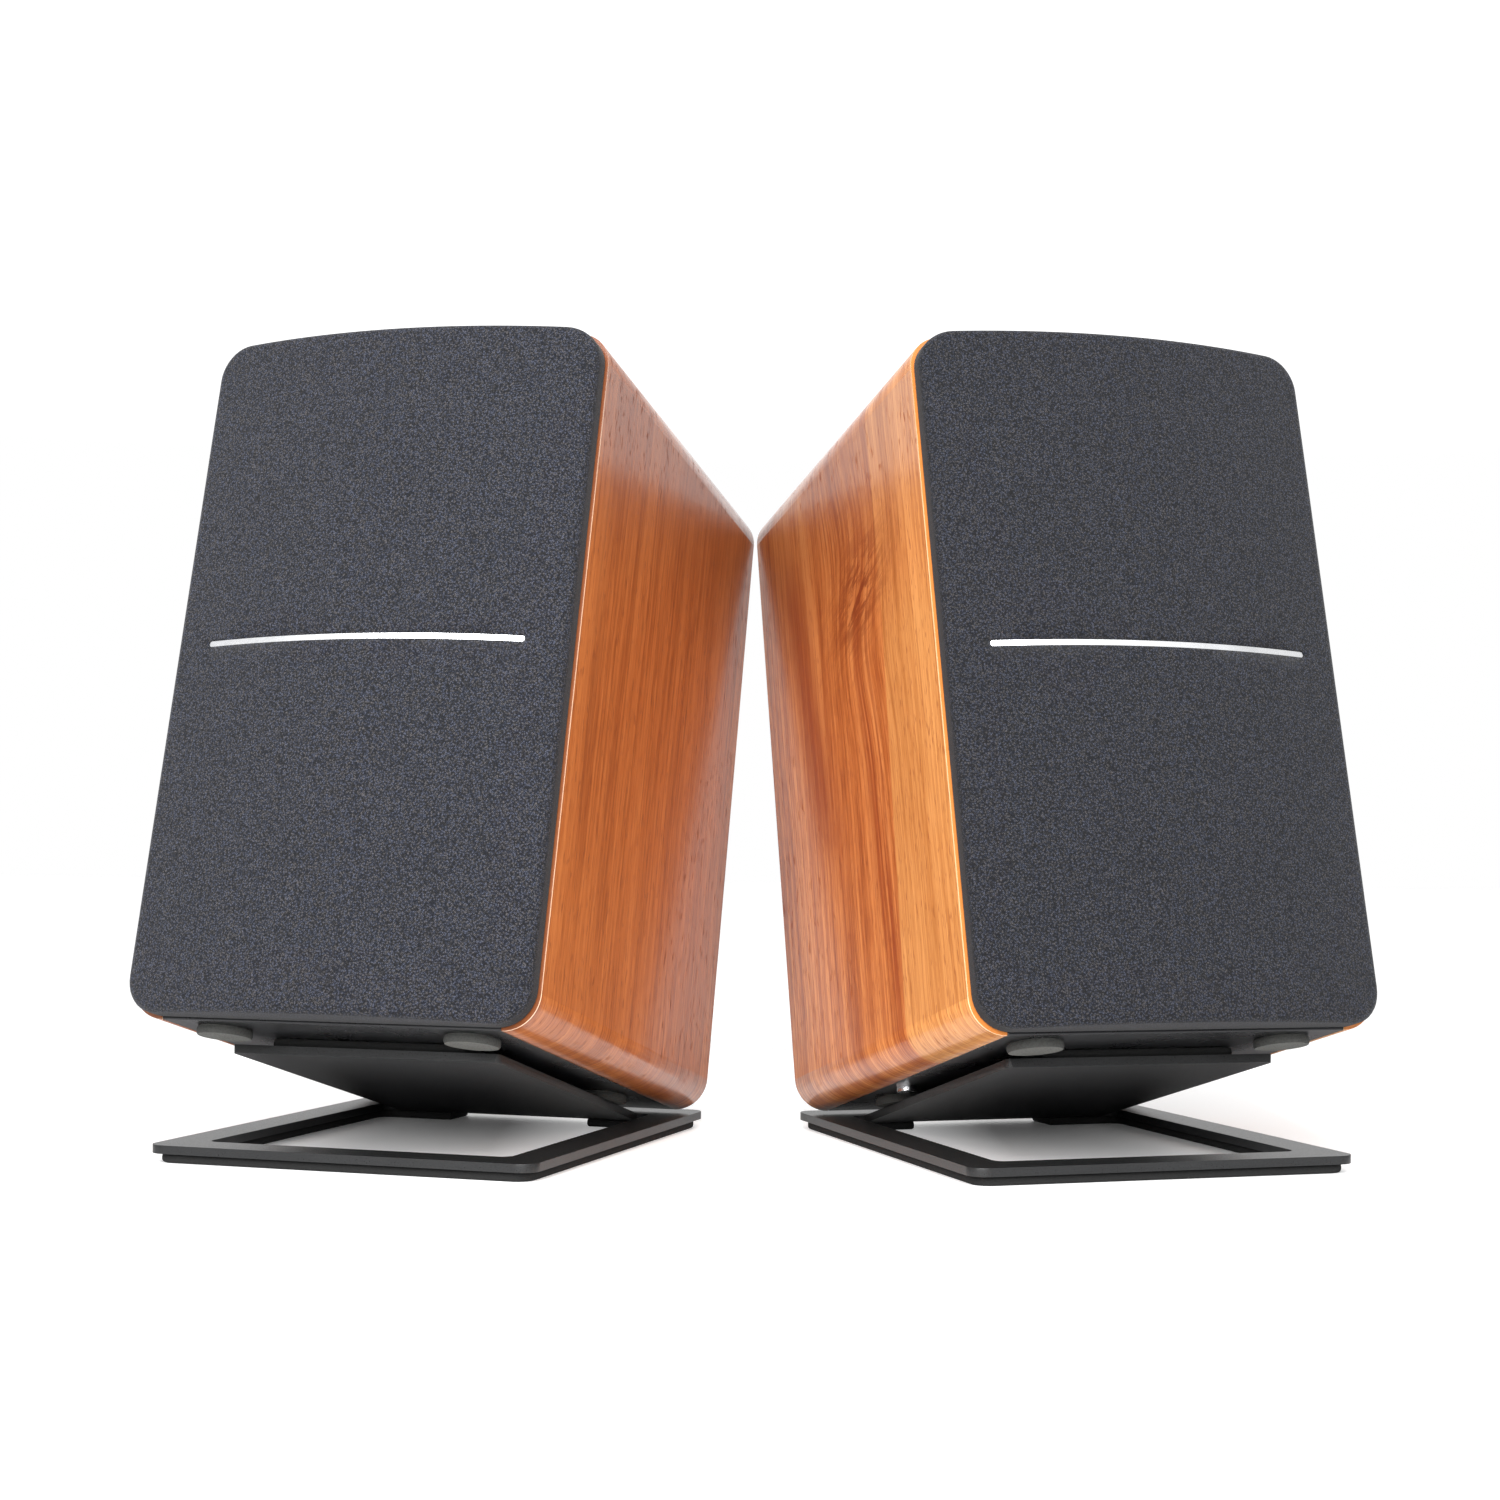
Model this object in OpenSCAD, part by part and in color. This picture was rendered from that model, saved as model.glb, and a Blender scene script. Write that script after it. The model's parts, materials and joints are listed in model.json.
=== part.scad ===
// A pair of two-way desktop speakers, each tilted back on a low bent-steel stand.
// Millimetres. +Z is up, the grilles face -Y, and the origin is on the desk, midway
// between the stands. Each speaker is drawn upright in its own frame (origin at the
// middle of the cabinet's bottom front edge, Y to the rear) and then tilted and turned.

/* [Cabinet] */
// Width over the wooden side panels
cabinet_w = 143; // [138:1:150]
// Height
cabinet_h = 235.6; // [228:0.2:245]
// Depth without the grille
cabinet_d = 167.5; // [162:0.5:172]
// Thickness of the wooden side panels, also the radius of their rounded long edges
side_t = 12; // [10:0.5:13]
// Thickness of the top and bottom boards
board_t = 9; // [8:0.5:10]

/* [Grille] */
// How far the grille stops short of the cabinet's outline
grille_inset = 0.9; // [0.5:0.1:2]
// Grille depth at its left and right edges
grille_edge = 6.5; // [5.5:0.1:8]
// Extra depth at the middle of the curved face
grille_bulge = 9; // [7:0.1:10]
// Corner radius of the grille
grille_r = 12; // [8:0.5:14]
// Length of the silver strip
strip_l = 113.5; // [100:0.5:118]
// Height of the silver strip's centre above the cabinet's bottom
strip_z = 124.7; // [122:0.1:128]

/* [Stand] */
// Backward tilt of the speakers, degrees
tilt = 14; // [13.5:0.1:14.2]
// Height of the cabinet's bottom front edge above the desk
front_edge_z = 47.4; // [47.3:0.1:49]
// Width of the base
base_w = 136.4; // [133:0.2:140]
// Depth of the base
base_d = 167.4; // [165:0.2:170]
// Steel thickness
steel_t = 2.8; // [2.5:0.1:3]
// Thickness of the foam under the base
foam_t = 3.2; // [3:0.1:3.4]

/* [Pair] */
// Gap between the two speakers where they come closest, at their rear edges
pair_gap = 1.1; // [1:0.1:40]
// How far each speaker is turned outward, degrees
toe = 17.8; // [10:0.1:20]

/* [Drivers] */
// Height of the woofer's axis
woofer_z = 78; // [76:1:80]
// Height of the tweeter's axis
tweeter_z = 178; // [176:1:182]

/* [Hidden] */
$fn = 64;
gap = 0.05;                     // space between pieces that touch
reach = 30;                     // how far cuts start ahead of the cabinet's front
unit_y = -101.4;                // puts the origin in the middle of the pair's depth
// distance from the middle of the pair to each stand's centre line: the half width, the
// tilted depth and the rounded edge of a speaker, all turned by the toe angle
unit_x = pair_gap / 2 + (cabinet_w / 2 - side_t) * cos(toe)
         + (cabinet_d * cos(tilt) + (cabinet_h - side_t) * sin(tilt)) * sin(toe)
         + side_t * sqrt(pow(cos(toe), 2) + pow(sin(tilt) * sin(toe), 2));
left = -1;
right = 1;

shell_w = cabinet_w - 2 * side_t - 2 * gap;
shell_side_t = 3;
inner_w = shell_w - 2 * shell_side_t;
inner_h = cabinet_h - 2 * board_t;
baffle_y = 0.3;                 // the baffle sits just behind the cabinet's front
baffle_t = 12;
rear_board_t = 5;
rear_recess = 3;
rear_face_y = cabinet_d - rear_recess;

grille_w = cabinet_w - 2 * grille_inset;
grille_h = cabinet_h - 2 * grille_inset;
grille_back_y = -0.5;
grille_curve_r = (grille_w * grille_w / 4 + grille_bulge * grille_bulge) / (2 * grille_bulge);
cloth_t = 0.8;
grille_frame_t = 4;
strip_h = 1.9;
strip_sunk = 0.3;               // below the cloth's face
slot_gap = 0.2;
window_w = 116;
window_r = 12;
windows = [[72, 96], [170, 80]]; // middle height and height of the frame's openings
peg_x = 50;
peg_zs = [14, cabinet_h - 14];
peg_r = 2.4;
peg_l = 8;
running_gap = 0.05;             // radial clearance of pegs and pivots
peg_boss_r = 5;
strip_pin_x = 45;
strip_pin_r = 0.8;
strip_pin_l = 4;
// Depth of the grille's curved face, x away from its middle.
function face_y(x) = grille_curve_r - grille_edge - grille_bulge
                     - sqrt(grille_curve_r * grille_curve_r - x * x);

flap_w = 96.4;
flap_front_y = 27;              // measured along the cabinet's bottom
flap_pad_t = 3.1;
flap_pad_w = 70;
flap_pad_l = 115;
flap_pad_setback = 3;
flap_overlap = 5;               // how far the flap runs into the rear bar
opening_w = 108;
opening_front_y = 20.4;
base_y = 5.8;
base_foam_inset = 2.5;
foam_gap_w = 56;
base_top_z = foam_t + steel_t;
// A [y, z] point of the stand, given its place along and below the cabinet's bottom.
function under(along, below) = [along * cos(tilt) - below * sin(tilt),
                                front_edge_z - along * sin(tilt) - below * cos(tilt)];
// The [y, z] point at height z of a line that runs "below" the cabinet's bottom.
function under_at_z(below, z) = under((front_edge_z - below * cos(tilt) - z) / sin(tilt), below);
flap_top = under_at_z(flap_pad_t, base_top_z);
flap_bottom = under_at_z(flap_pad_t + steel_t, foam_t);
bend_y = flap_bottom[0];

foot_r = 8.8;
foot_t = 2.9;
foot_x = 44;
foot_ys = [14, 132];

woofer_frame_r = 53;
woofer_frame_t = 3.5;
woofer_hole_r = 46;
woofer_screw_r = 50.3;
tweeter_frame_r = 38;
tweeter_frame_t = 3;
tweeter_hole_r = 32.5;
tweeter_screw_r = 35;
coil_gap_r = 13.1;
basket_depth = 36;              // from the baffle's face to the woofer's top plate
plate_t = 5;
magnet_t = 13;
magnet_r = 36;
pole_r = 11.5;
roll_r = 39.6;                  // radius of the middle of the surround's half roll
cap_r = 31;                     // radius of the dust cap's dome
cap_y = 47.6;                   // depth of its centre
dome_r = 14;                    // radius of the tweeter dome's sphere
port_z = 190;
port_r = 18;

amp_w = 92;
amp_h = 136;
amp_z = 82;
amp_t = 2;
amp_screw_inset = 4;
amp_y = rear_face_y + gap;
amp_face_y = amp_y + amp_t;
transformer_y = 108;
transformer_screw_xs = [-51, 51];

control_y = 132;
control_z = 150;
control_w = 30;
control_h = 92;
control_pitch = 28;
knob_ys = [-control_pitch, 0, control_pitch];
knob_r = 9;
knob_h = 14;
shaft_r = 3;

terminal_z = 60;
terminal_w = 30;
lever_x = 7.2;
lever_w = 11;
pivot_r = 1.2;
amp_terminal_z = 130;
switch_x = 24;
switch_z = 36;
rocker_off_angle = 8;
jack_zs = [84, 100];
jack_xs = [-20, -4];
inlet_x = -22;

// ---------- placing ----------

// Draws its children on the stand of one side.
module at_unit(side)
    translate([side * unit_x, unit_y, 0]) rotate([0, 0, side * toe]) children();

// Draws its children in the tilted frame of one speaker.
module at_speaker(side)
    at_unit(side) translate([0, 0, front_edge_z]) rotate([-tilt, 0, 0]) children();

// Pushes a flat shape drawn in X and Z backwards from y0.
module along_y(y0, depth)
    translate([0, y0 + depth, 0]) rotate([90, 0, 0]) linear_extrude(depth) children();

// Turns a round piece so that its own Z axis runs to the rear.
module round_y(z, y0)
    translate([0, y0, z]) rotate([-90, 0, 0]) children();

// Revolves an outline of [radius, distance to the rear] points.
module lathe(points)
    rotate_extrude($fn = 72) polygon(points);

module rounded(w, h, r) {
    square([w - 2 * r, h], center = true);
    square([w, h - 2 * r], center = true);
    for (x = [-1, 1], y = [-1, 1])
        translate([x * (w / 2 - r), y * (h / 2 - r)]) circle(r);
}

module ring_of(count, r, start)
    for (i = [0 : count - 1])
        rotate([0, 0, start + i * 360 / count]) translate([r, 0, 0]) children();

// A cross-head screw whose head's underside is at z = 0; the shank runs to +Z.
module screw(head_r, head_t, shank_r, shank_l)
    difference() {
        union() {
            translate([0, 0, -head_t]) cylinder(r = head_r, h = head_t, $fn = 32);
            translate([0, 0, -0.2]) cylinder(r = shank_r, h = shank_l + 0.2, $fn = 32);
        }
        for (a = [0, 90])
            rotate([0, 0, a]) translate([-head_r * 0.65, -head_r * 0.12, -head_t - 1])
                cube([head_r * 1.3, head_r * 0.24, 1 + head_t * 0.6]);
    }

// ---------- stand ----------

module steel() color([0.2, 0.21, 0.22]) children();
module black_foam() color([0.1, 0.1, 0.11]) children();

module base_outline(inset)
    translate([0, base_y + base_d / 2]) rounded(base_w - 2 * inset, base_d - 2 * inset, 6);

module opening_outline(grow) {
    depth = bend_y - opening_front_y + 2 * grow;
    translate([0, opening_front_y - grow + depth / 2]) rounded(opening_w + 2 * grow, depth, 4);
}

module stand_plate()
    steel() {
        translate([0, 0, foam_t]) linear_extrude(steel_t) difference() {
            base_outline(0);
            opening_outline(0);
        }
        // the flap, drawn from the side and running a little way into the rear bar
        intersection() {
            translate([-flap_w / 2, 0, 0]) rotate([90, 0, 90]) linear_extrude(flap_w)
                polygon([under(flap_front_y, flap_pad_t), flap_top,
                         [bend_y + flap_overlap, base_top_z], [bend_y + flap_overlap, foam_t],
                         flap_bottom,
                         under(flap_front_y, flap_pad_t + steel_t)]);
            translate([0, bend_y, 0])
                linear_extrude(front_edge_z) rounded(flap_w + gap, 2 * (bend_y - flap_front_y + 3), 4);
        }
    }

module stand_base_pad()
    black_foam() linear_extrude(foam_t - gap) difference() {
        base_outline(base_foam_inset);
        opening_outline(base_foam_inset);
        translate([-foam_gap_w / 2, bend_y]) square([foam_gap_w, base_d]);
    }

module stand_flap_pad()
    black_foam() translate([0, 0, front_edge_z]) rotate([-tilt, 0, 0])
        translate([0, flap_front_y + flap_pad_setback + flap_pad_l / 2, -flap_pad_t + gap])
            linear_extrude(flap_pad_t - 2 * gap) rounded(flap_pad_w, flap_pad_l, 2);

module stand_plates() for (side = [left, right]) at_unit(side) stand_plate();
module stand_base_pads() for (side = [left, right]) at_unit(side) stand_base_pad();
module stand_flap_pads() for (side = [left, right]) at_unit(side) stand_flap_pad();

// ---------- cabinet ----------

// The cut in the right speaker's outer side for its recessed control plate.
module control_cut()
    translate([inner_w / 2 - 1, control_y, control_z]) rotate([90, 0, 90])
        linear_extrude(30) rounded(control_w + 2 * gap, control_h + 2 * gap, 5);

module side_panels(side)
    color([0.72, 0.42, 0.2]) at_speaker(side) difference() {
        along_y(0, cabinet_d) translate([0, cabinet_h / 2]) difference() {
            rounded(cabinet_w, cabinet_h, side_t);
            square([cabinet_w - 2 * side_t, cabinet_h + 2], center = true);
        }
        if (side == right) control_cut();
    }

module cabinet_shell(side)
    color([0.12, 0.12, 0.13]) at_speaker(side) difference() {
        along_y(0, cabinet_d) translate([0, cabinet_h / 2]) difference() {
            square([shell_w, cabinet_h], center = true);
            square([inner_w, inner_h], center = true);
        }
        if (side == right) {
            control_cut();
            for (x = transformer_screw_xs)
                translate([x, transformer_y, -1]) cylinder(r = 2, h = board_t + 2, $fn = 32);
        }
    }

module front_baffle(side)
    color([0.13, 0.13, 0.14]) at_speaker(side) difference() {
        along_y(baffle_y, baffle_t) translate([0, cabinet_h / 2])
            square([inner_w - 2 * gap, inner_h - 2 * gap], center = true);
        round_y(woofer_z, baffle_y) {
            translate([0, 0, -1]) cylinder(r = woofer_hole_r, h = baffle_t + 2);
            translate([0, 0, -1]) cylinder(r = woofer_frame_r + gap, h = woofer_frame_t + gap + 1);
            ring_of(4, woofer_screw_r, 45) cylinder(r = 1.5, h = 11, $fn = 32);
        }
        round_y(tweeter_z, baffle_y) {
            translate([0, 0, -1]) cylinder(r = tweeter_hole_r, h = baffle_t + 2);
            translate([0, 0, -1]) cylinder(r = tweeter_frame_r + gap, h = tweeter_frame_t + gap + 1);
            ring_of(4, tweeter_screw_r, 45) cylinder(r = 1.5, h = 11, $fn = 32);
        }
        for (x = [-peg_x, peg_x], z = peg_zs)
            translate([x, 0, 0]) round_y(z, -1)
                cylinder(r = peg_r + running_gap, h = peg_l + 2.5, $fn = 48);
    }

module rear_board(side)
    color([0.12, 0.12, 0.13]) at_speaker(side) difference() {
        along_y(rear_face_y - rear_board_t, rear_board_t) translate([0, cabinet_h / 2])
            square([inner_w - 2 * gap, inner_h - 2 * gap], center = true);
        round_y(port_z, rear_face_y - rear_board_t - 1)
            cylinder(r = port_r + gap, h = rear_board_t + 2);
        if (side == right) {
            along_y(rear_face_y - rear_board_t - 1, rear_board_t + 2)
                translate([0, amp_z]) rounded(amp_w - 16, amp_h - 16, 4);
            at_amp_edge() round_y(0, rear_face_y - rear_board_t - 1)
                cylinder(r = 1.5, h = rear_board_t + 2, $fn = 32);
        }
        else {
            along_y(rear_face_y - rear_board_t - 1, rear_board_t + 2)
                translate([0, terminal_z]) square([terminal_w - 8, 10], center = true);
        }
    }

module feet(side)
    color([0.36, 0.37, 0.37]) at_speaker(side)
        for (x = [-foot_x, foot_x], y = foot_ys)
            translate([x, y, -foot_t]) cylinder(r = foot_r, h = foot_t - gap, $fn = 48);

module port_tube(side)
    color([0.1, 0.1, 0.1]) at_speaker(side) round_y(port_z, rear_face_y)
        lathe(concat(
            [[port_r - 2, -72], [port_r, -72], [port_r, gap], [port_r + 6, gap], [port_r + 6, 2]],
            [for (a = [0 : 15 : 90]) [port_r + 4 - 6 * sin(a), 2 - 6 * (1 - cos(a))]]
        ));

// ---------- grille ----------

// The grille's curved block, moved in by "inset" on its front and outline.
module grille_block(inset, back_y)
    intersection() {
        along_y(-reach, reach + back_y) translate([0, cabinet_h / 2])
            rounded(grille_w - 2 * inset, grille_h - 2 * inset, grille_r - inset);
        translate([0, grille_curve_r - grille_edge - grille_bulge, -1])
            cylinder(r = grille_curve_r - inset, h = cabinet_h + 2, $fn = 256);
    }

module strip_outline(grow)
    translate([0, strip_z]) {
        square([strip_l - strip_h, strip_h + 2 * grow], center = true);
        for (x = [-1, 1]) translate([x * (strip_l - strip_h) / 2, 0]) circle(strip_h / 2 + grow);
    }

module grille_cloth(side)
    color([0.27, 0.275, 0.3]) at_speaker(side) difference() {
        grille_block(0, grille_back_y);
        grille_block(cloth_t, 1);
        along_y(-reach, 2 * reach) strip_outline(slot_gap);
    }

module grille_frame(side)
    color([0.1, 0.1, 0.11]) at_speaker(side) difference() {
        boss_y = face_y(peg_x) + cloth_t + grille_frame_t;
        union() {
            difference() {
                grille_block(cloth_t + gap, grille_back_y);
                grille_block(cloth_t + gap + grille_frame_t, 1);
                for (window = windows)
                    along_y(-reach, 2 * reach)
                        translate([0, window[0]]) rounded(window_w, window[1], window_r);
            }
            for (x = [-peg_x, peg_x], z = peg_zs) translate([x, 0, 0]) {
                round_y(z, boss_y - 1) cylinder(r = peg_boss_r, h = grille_back_y - boss_y + 1, $fn = 48);
                round_y(z, -2) cylinder(r = peg_r, h = 2 + peg_l, $fn = 48);
            }
        }
        for (x = [-strip_pin_x, strip_pin_x])
            translate([x, 0, 0]) round_y(strip_z, -reach)
                cylinder(r = strip_pin_r + 0.1, h = reach, $fn = 32);
    }

module grille_strip(side)
    color([0.82, 0.83, 0.85]) at_speaker(side) {
        difference() {
            intersection() {
                grille_block(strip_sunk, 0);
                along_y(-reach, reach) strip_outline(0);
            }
            grille_block(cloth_t, 1);
        }
        for (x = [-strip_pin_x, strip_pin_x]) translate([x, 0, 0])
            round_y(strip_z, face_y(strip_pin_x) + (strip_sunk + cloth_t) / 2)
                cylinder(r = strip_pin_r, h = strip_pin_l, $fn = 32);
    }

// ---------- woofer ----------

module at_woofer(side) at_speaker(side) round_y(woofer_z, baffle_y) children();

module woofer_basket(side)
    color([0.16, 0.16, 0.17]) at_woofer(side) difference() {
        lathe([[woofer_frame_r, 0], [woofer_frame_r, woofer_frame_t], [45.8, woofer_frame_t],
               [38, basket_depth - 2], [38, basket_depth], [coil_gap_r, basket_depth],
               [coil_gap_r, basket_depth - 1.5], [36.4, basket_depth - 1.5],
               // ledge for the spider
               [36.9, 31.5], [33, 31.5], [33, 30], [37.4, 30],
               // seat of the surround
               [43.4, 4], [43.4, 2], [47.6, 2], [47.6, 0]]);
        ring_of(4, 20, 0) translate([0, -16, 8]) cube([40, 32, 20]);
        ring_of(4, woofer_screw_r, 45) translate([0, 0, -1]) cylinder(r = 1.6, h = 6, $fn = 32);
    }

// Top plate, ring magnet and back plate with the pole.
module woofer_motor(side)
    at_woofer(side) {
        magnet_y = basket_depth + plate_t + gap;
        back_y = magnet_y + magnet_t;
        color([0.6, 0.6, 0.62])
            lathe([[coil_gap_r, basket_depth + gap], [magnet_r - 2, basket_depth + gap],
                   [magnet_r - 2, magnet_y - gap], [coil_gap_r, magnet_y - gap]]);
        color([0.14, 0.14, 0.14])
            lathe([[18, magnet_y], [magnet_r, magnet_y], [magnet_r, back_y], [18, back_y]]);
        color([0.6, 0.6, 0.62])
            lathe([[4, basket_depth], [pole_r, basket_depth], [pole_r, back_y + gap],
                   [magnet_r - 2, back_y + gap], [magnet_r - 2, back_y + plate_t], [4, back_y + plate_t]]);
    }

// Half roll between a flange on the basket and one under the cone's rim.
module woofer_surround(side)
    color([0.09, 0.09, 0.1]) at_woofer(side)
        lathe(concat(
            [[47.5, 1.2], [47.5, 1.95], [roll_r + 4.4, 1.95]],
            [for (a = [0 : 15 : 180]) [roll_r + 3.8 * cos(a), 1.3 - 3.8 * sin(a)]],
            [[roll_r - 3.8, 2.7], [32.6, 2.7], [32.6, 2], [roll_r - 4.6, 2]],
            [for (a = [180 : -15 : 0]) [roll_r + 4.6 * cos(a), 1.2 - 4.6 * sin(a)]]
        ));

module woofer_spider(side)
    color([0.75, 0.6, 0.3]) at_woofer(side)
        lathe(concat(
            [for (i = [0 : 18]) [12.4 + i, 28.6 - 0.8 * sin(i * 60)]],
            [[33, 29.2], [36.2, 29.2], [36.2, 29.9], [33, 29.9]],
            [for (i = [18 : -1 : 0]) [12.4 + i, 29.2 - 0.8 * sin(i * 60)]]
        ));

module woofer_cone(side)
    at_woofer(side) {
        color([0.2, 0.2, 0.21]) union() {
            lathe([[34.8, 2.75], [34.8, 3.5], [32.2, 4], [12.1, 25], [12.1, 23.7], [31.4, 3.2],
                   [32, 2.75]]);
            lathe([[11.9, 23.6], [12.2, 23.6], [12.2, 33], [12.6, 33], [12.6, 44], [11.9, 44]]);
            // dust cap
            lathe(concat(
                [for (a = [0 : 10 : 30]) [cap_r * sin(a), cap_y - cap_r * cos(a)]],
                [for (a = [31 : -10 : 1]) [(cap_r - 0.7) * sin(a), cap_y - (cap_r - 0.7) * cos(a)]],
                [[0, cap_y - cap_r + 0.7]]
            ));
        }
    }

// ---------- tweeter ----------

module at_tweeter(side) at_speaker(side) round_y(tweeter_z, baffle_y) children();

module tweeter_faceplate(side)
    color([0.11, 0.11, 0.12]) at_tweeter(side) difference() {
        lathe([[tweeter_frame_r, 0], [tweeter_frame_r, 3], [30, 3], [30, 4.1], [24, 4.1], [24, 3],
               [13.6, 3], [13.6, 2.2], [20, 0.8], [26, 0]]);
        ring_of(4, tweeter_screw_r, 45) translate([0, 0, -1]) cylinder(r = 1.6, h = 6, $fn = 32);
    }

module tweeter_dome(side)
    color([0.3, 0.3, 0.32]) at_tweeter(side) {
        lathe(concat(
            [for (a = [0 : 9 : 63]) [dome_r * sin(a), 10 - dome_r * cos(a)]],
            [[12.6, 3.4], [14.6, 3.4], [14.6, 3.75], [12.75, 3.75], [12.75, 8], [12.35, 8]],
            [for (a = [63 : -9 : 0]) [(dome_r - 0.4) * sin(a), 10 - (dome_r - 0.4) * cos(a)]]
        ));
    }

module tweeter_motor(side)
    at_tweeter(side) {
        color([0.6, 0.6, 0.62]) lathe([[13.3, 4.2], [29, 4.2], [29, 7], [13.3, 7]]);
        color([0.14, 0.14, 0.14]) lathe([[16, 7 + gap], [30, 7 + gap], [30, 15], [16, 15]]);
        color([0.6, 0.6, 0.62])
            lathe([[3, 4.6], [11.9, 4.6], [11.9, 15 + gap], [29, 15 + gap], [29, 19], [3, 19]]);
    }

module driver_screws(side)
    color([0.15, 0.15, 0.16]) {
        at_woofer(side) ring_of(4, woofer_screw_r, 45)
            translate([0, 0, -gap]) screw(2.3, 1.2, 1.4, 10);
        at_tweeter(side) ring_of(4, tweeter_screw_r, 45)
            translate([0, 0, -gap]) screw(2.3, 1.2, 1.4, 10);
    }

// ---------- speaker terminals ----------

// Everything of one terminal block is drawn around its face on the rear of the speaker.
module at_terminals(side)
    at_speaker(side)
        translate([0, side == right ? amp_face_y + gap : rear_face_y + gap,
                   side == right ? amp_terminal_z : terminal_z])
            children();

module terminal_block(side)
    color([0.14, 0.14, 0.15]) at_terminals(side) difference() {
        union() {
            translate([-terminal_w / 2, 0, -12]) cube([terminal_w, 2, 24]);
            for (x = [-lever_x * 2, 0, lever_x * 2])
                translate([x - 0.6, 1, -9]) cube([1.2, 9, 18]);
            translate([-9, -5.5, -3]) cube([18, 6, 6]);
        }
        translate([-20, 6, 4]) rotate([0, 90, 0])
            cylinder(r = pivot_r + running_gap, h = 40, $fn = 32);
    }

// A spring-clip lever; it pivots on stubs held by the block's cheeks.
module terminal_lever(side, x)
    at_terminals(side) translate([x, 6, 4]) {
        rotate([0, 90, 0]) translate([0, 0, -6.9]) cylinder(r = pivot_r, h = 13.8, $fn = 32);
        rotate([0, 90, 0]) translate([0, 0, -lever_w / 2]) cylinder(r = 2.4, h = lever_w, $fn = 32);
        translate([-lever_w / 2, 0, -2.4]) cube([lever_w, 8.5, 2.2]);
        translate([-lever_w / 2, 6.5, -6]) cube([lever_w, 2, 5.8]);
        translate([-lever_w / 2 + 2, -1.6, -6]) cube([lever_w - 4, 1.2, 6.5]);
    }

module terminal_lever_red(side) color([0.75, 0.1, 0.08]) terminal_lever(side, lever_x);
module terminal_lever_black(side) color([0.08, 0.08, 0.08]) terminal_lever(side, -lever_x);

module crossover_board(side)
    color([0.1, 0.35, 0.2]) at_speaker(side) translate([0, 115, board_t + gap]) {
        translate([-32, -26, 4]) cube([64, 52, 1.6]);
        for (x = [-28, 28], y = [-22, 22])
            translate([x, y, 0]) cylinder(r = 3, h = 4.5, $fn = 32);
        translate([-14, -6, 5]) cylinder(r = 12, h = 14, $fn = 48);
        translate([14, 8, 5]) cylinder(r = 9, h = 14, $fn = 48);
        translate([2, -18, 11]) rotate([0, 90, 0]) cylinder(r = 6, h = 26, $fn = 48);
    }

// ---------- amplifier, right speaker only ----------

// The screw places around the amplifier plate's edge.
module at_amp_edge()
    for (x = [-1, 1], z = [-1, 0, 1])
        translate([x * (amp_w / 2 - amp_screw_inset), 0, amp_z + z * (amp_h / 2 - amp_screw_inset)])
            children();

module amp_plate()
    color([0.13, 0.13, 0.14]) at_speaker(right) difference() {
        along_y(amp_y, amp_t) translate([0, amp_z]) rounded(amp_w, amp_h, 3);
        at_amp_edge() round_y(0, amp_y - 1) cylinder(r = 1.6, h = amp_t + 2, $fn = 32);
        for (x = jack_xs, z = jack_zs)
            translate([x, 0, 0]) round_y(z, amp_y - 1) cylinder(r = 4.6, h = amp_t + 2, $fn = 48);
        translate([switch_x, amp_y - 1, switch_z]) translate([-9.6, 0, -6.6])
            cube([19.2, amp_t + 2, 13.2]);
        translate([inlet_x, amp_y - 1, switch_z]) translate([-10.1, 0, -6.1])
            cube([20.2, amp_t + 2, 12.2]);
        translate([-9.1, amp_y - 1, amp_terminal_z - 3.1]) cube([18.2, amp_t + 2, 6.2]);
    }

module amp_plate_screws()
    color([0.25, 0.25, 0.26]) at_speaker(right) at_amp_edge()
        translate([0, amp_face_y + gap, 0]) rotate([90, 0, 0]) screw(2.6, 1.3, 1.4, 6);

module amp_board()
    color([0.1, 0.35, 0.2]) at_speaker(right) {
        translate([-34, 142, 66]) cube([68, 1.6, 70]);
        // two brackets that hold the board behind the plate
        for (x = [-33, 31]) translate([x, 143, 104]) cube([2, amp_y - 143 - gap, 8]);
        for (x = [-18, 14]) translate([x, 143, 76])
            rotate([-90, 0, 0]) cylinder(r = 7, h = 12, $fn = 48);
        translate([-8, 143, 118]) cube([26, 12, 10]);
    }

module transformer()
    at_speaker(right) translate([0, transformer_y, board_t + gap]) {
        // iron core on a strap that reaches the two screws
        color([0.45, 0.45, 0.46]) difference() {
            union() {
                translate([-54.5, -8, 0]) cube([109, 16, 1.5]);
                translate([-26, -11, 1]) cube([52, 22, 44]);
            }
            for (x = transformer_screw_xs) translate([x, 0, -1]) cylinder(r = 2, h = 4, $fn = 32);
            translate([-17, -12, 10]) cube([34, 24, 26]);
        }
        // winding
        color([0.75, 0.6, 0.2])
            translate([-17 + gap, -18, 10 + gap]) cube([34 - 2 * gap, 36, 26 - 2 * gap]);
    }

module transformer_screws()
    color([0.8, 0.8, 0.82]) at_speaker(right)
        for (x = transformer_screw_xs) translate([x, transformer_y, -gap])
            screw(3.6, 1.6, 1.9, board_t + 4);

module line_jacks()
    at_speaker(right) for (x = jack_xs, z = jack_zs)
        translate([x, 0, 0]) round_y(z, amp_face_y + gap)
            color([0.75, 0.65, 0.4]) difference() {
                union() {
                    cylinder(r = 6, h = 1.5, $fn = 48);
                    cylinder(r = 4.15, h = 8.5, $fn = 48);
                    translate([0, 0, -10]) cylinder(r = 4.4, h = 11, $fn = 48);
                }
                translate([0, 0, 1]) cylinder(r = 1.7, h = 9, $fn = 32);
            }

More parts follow.
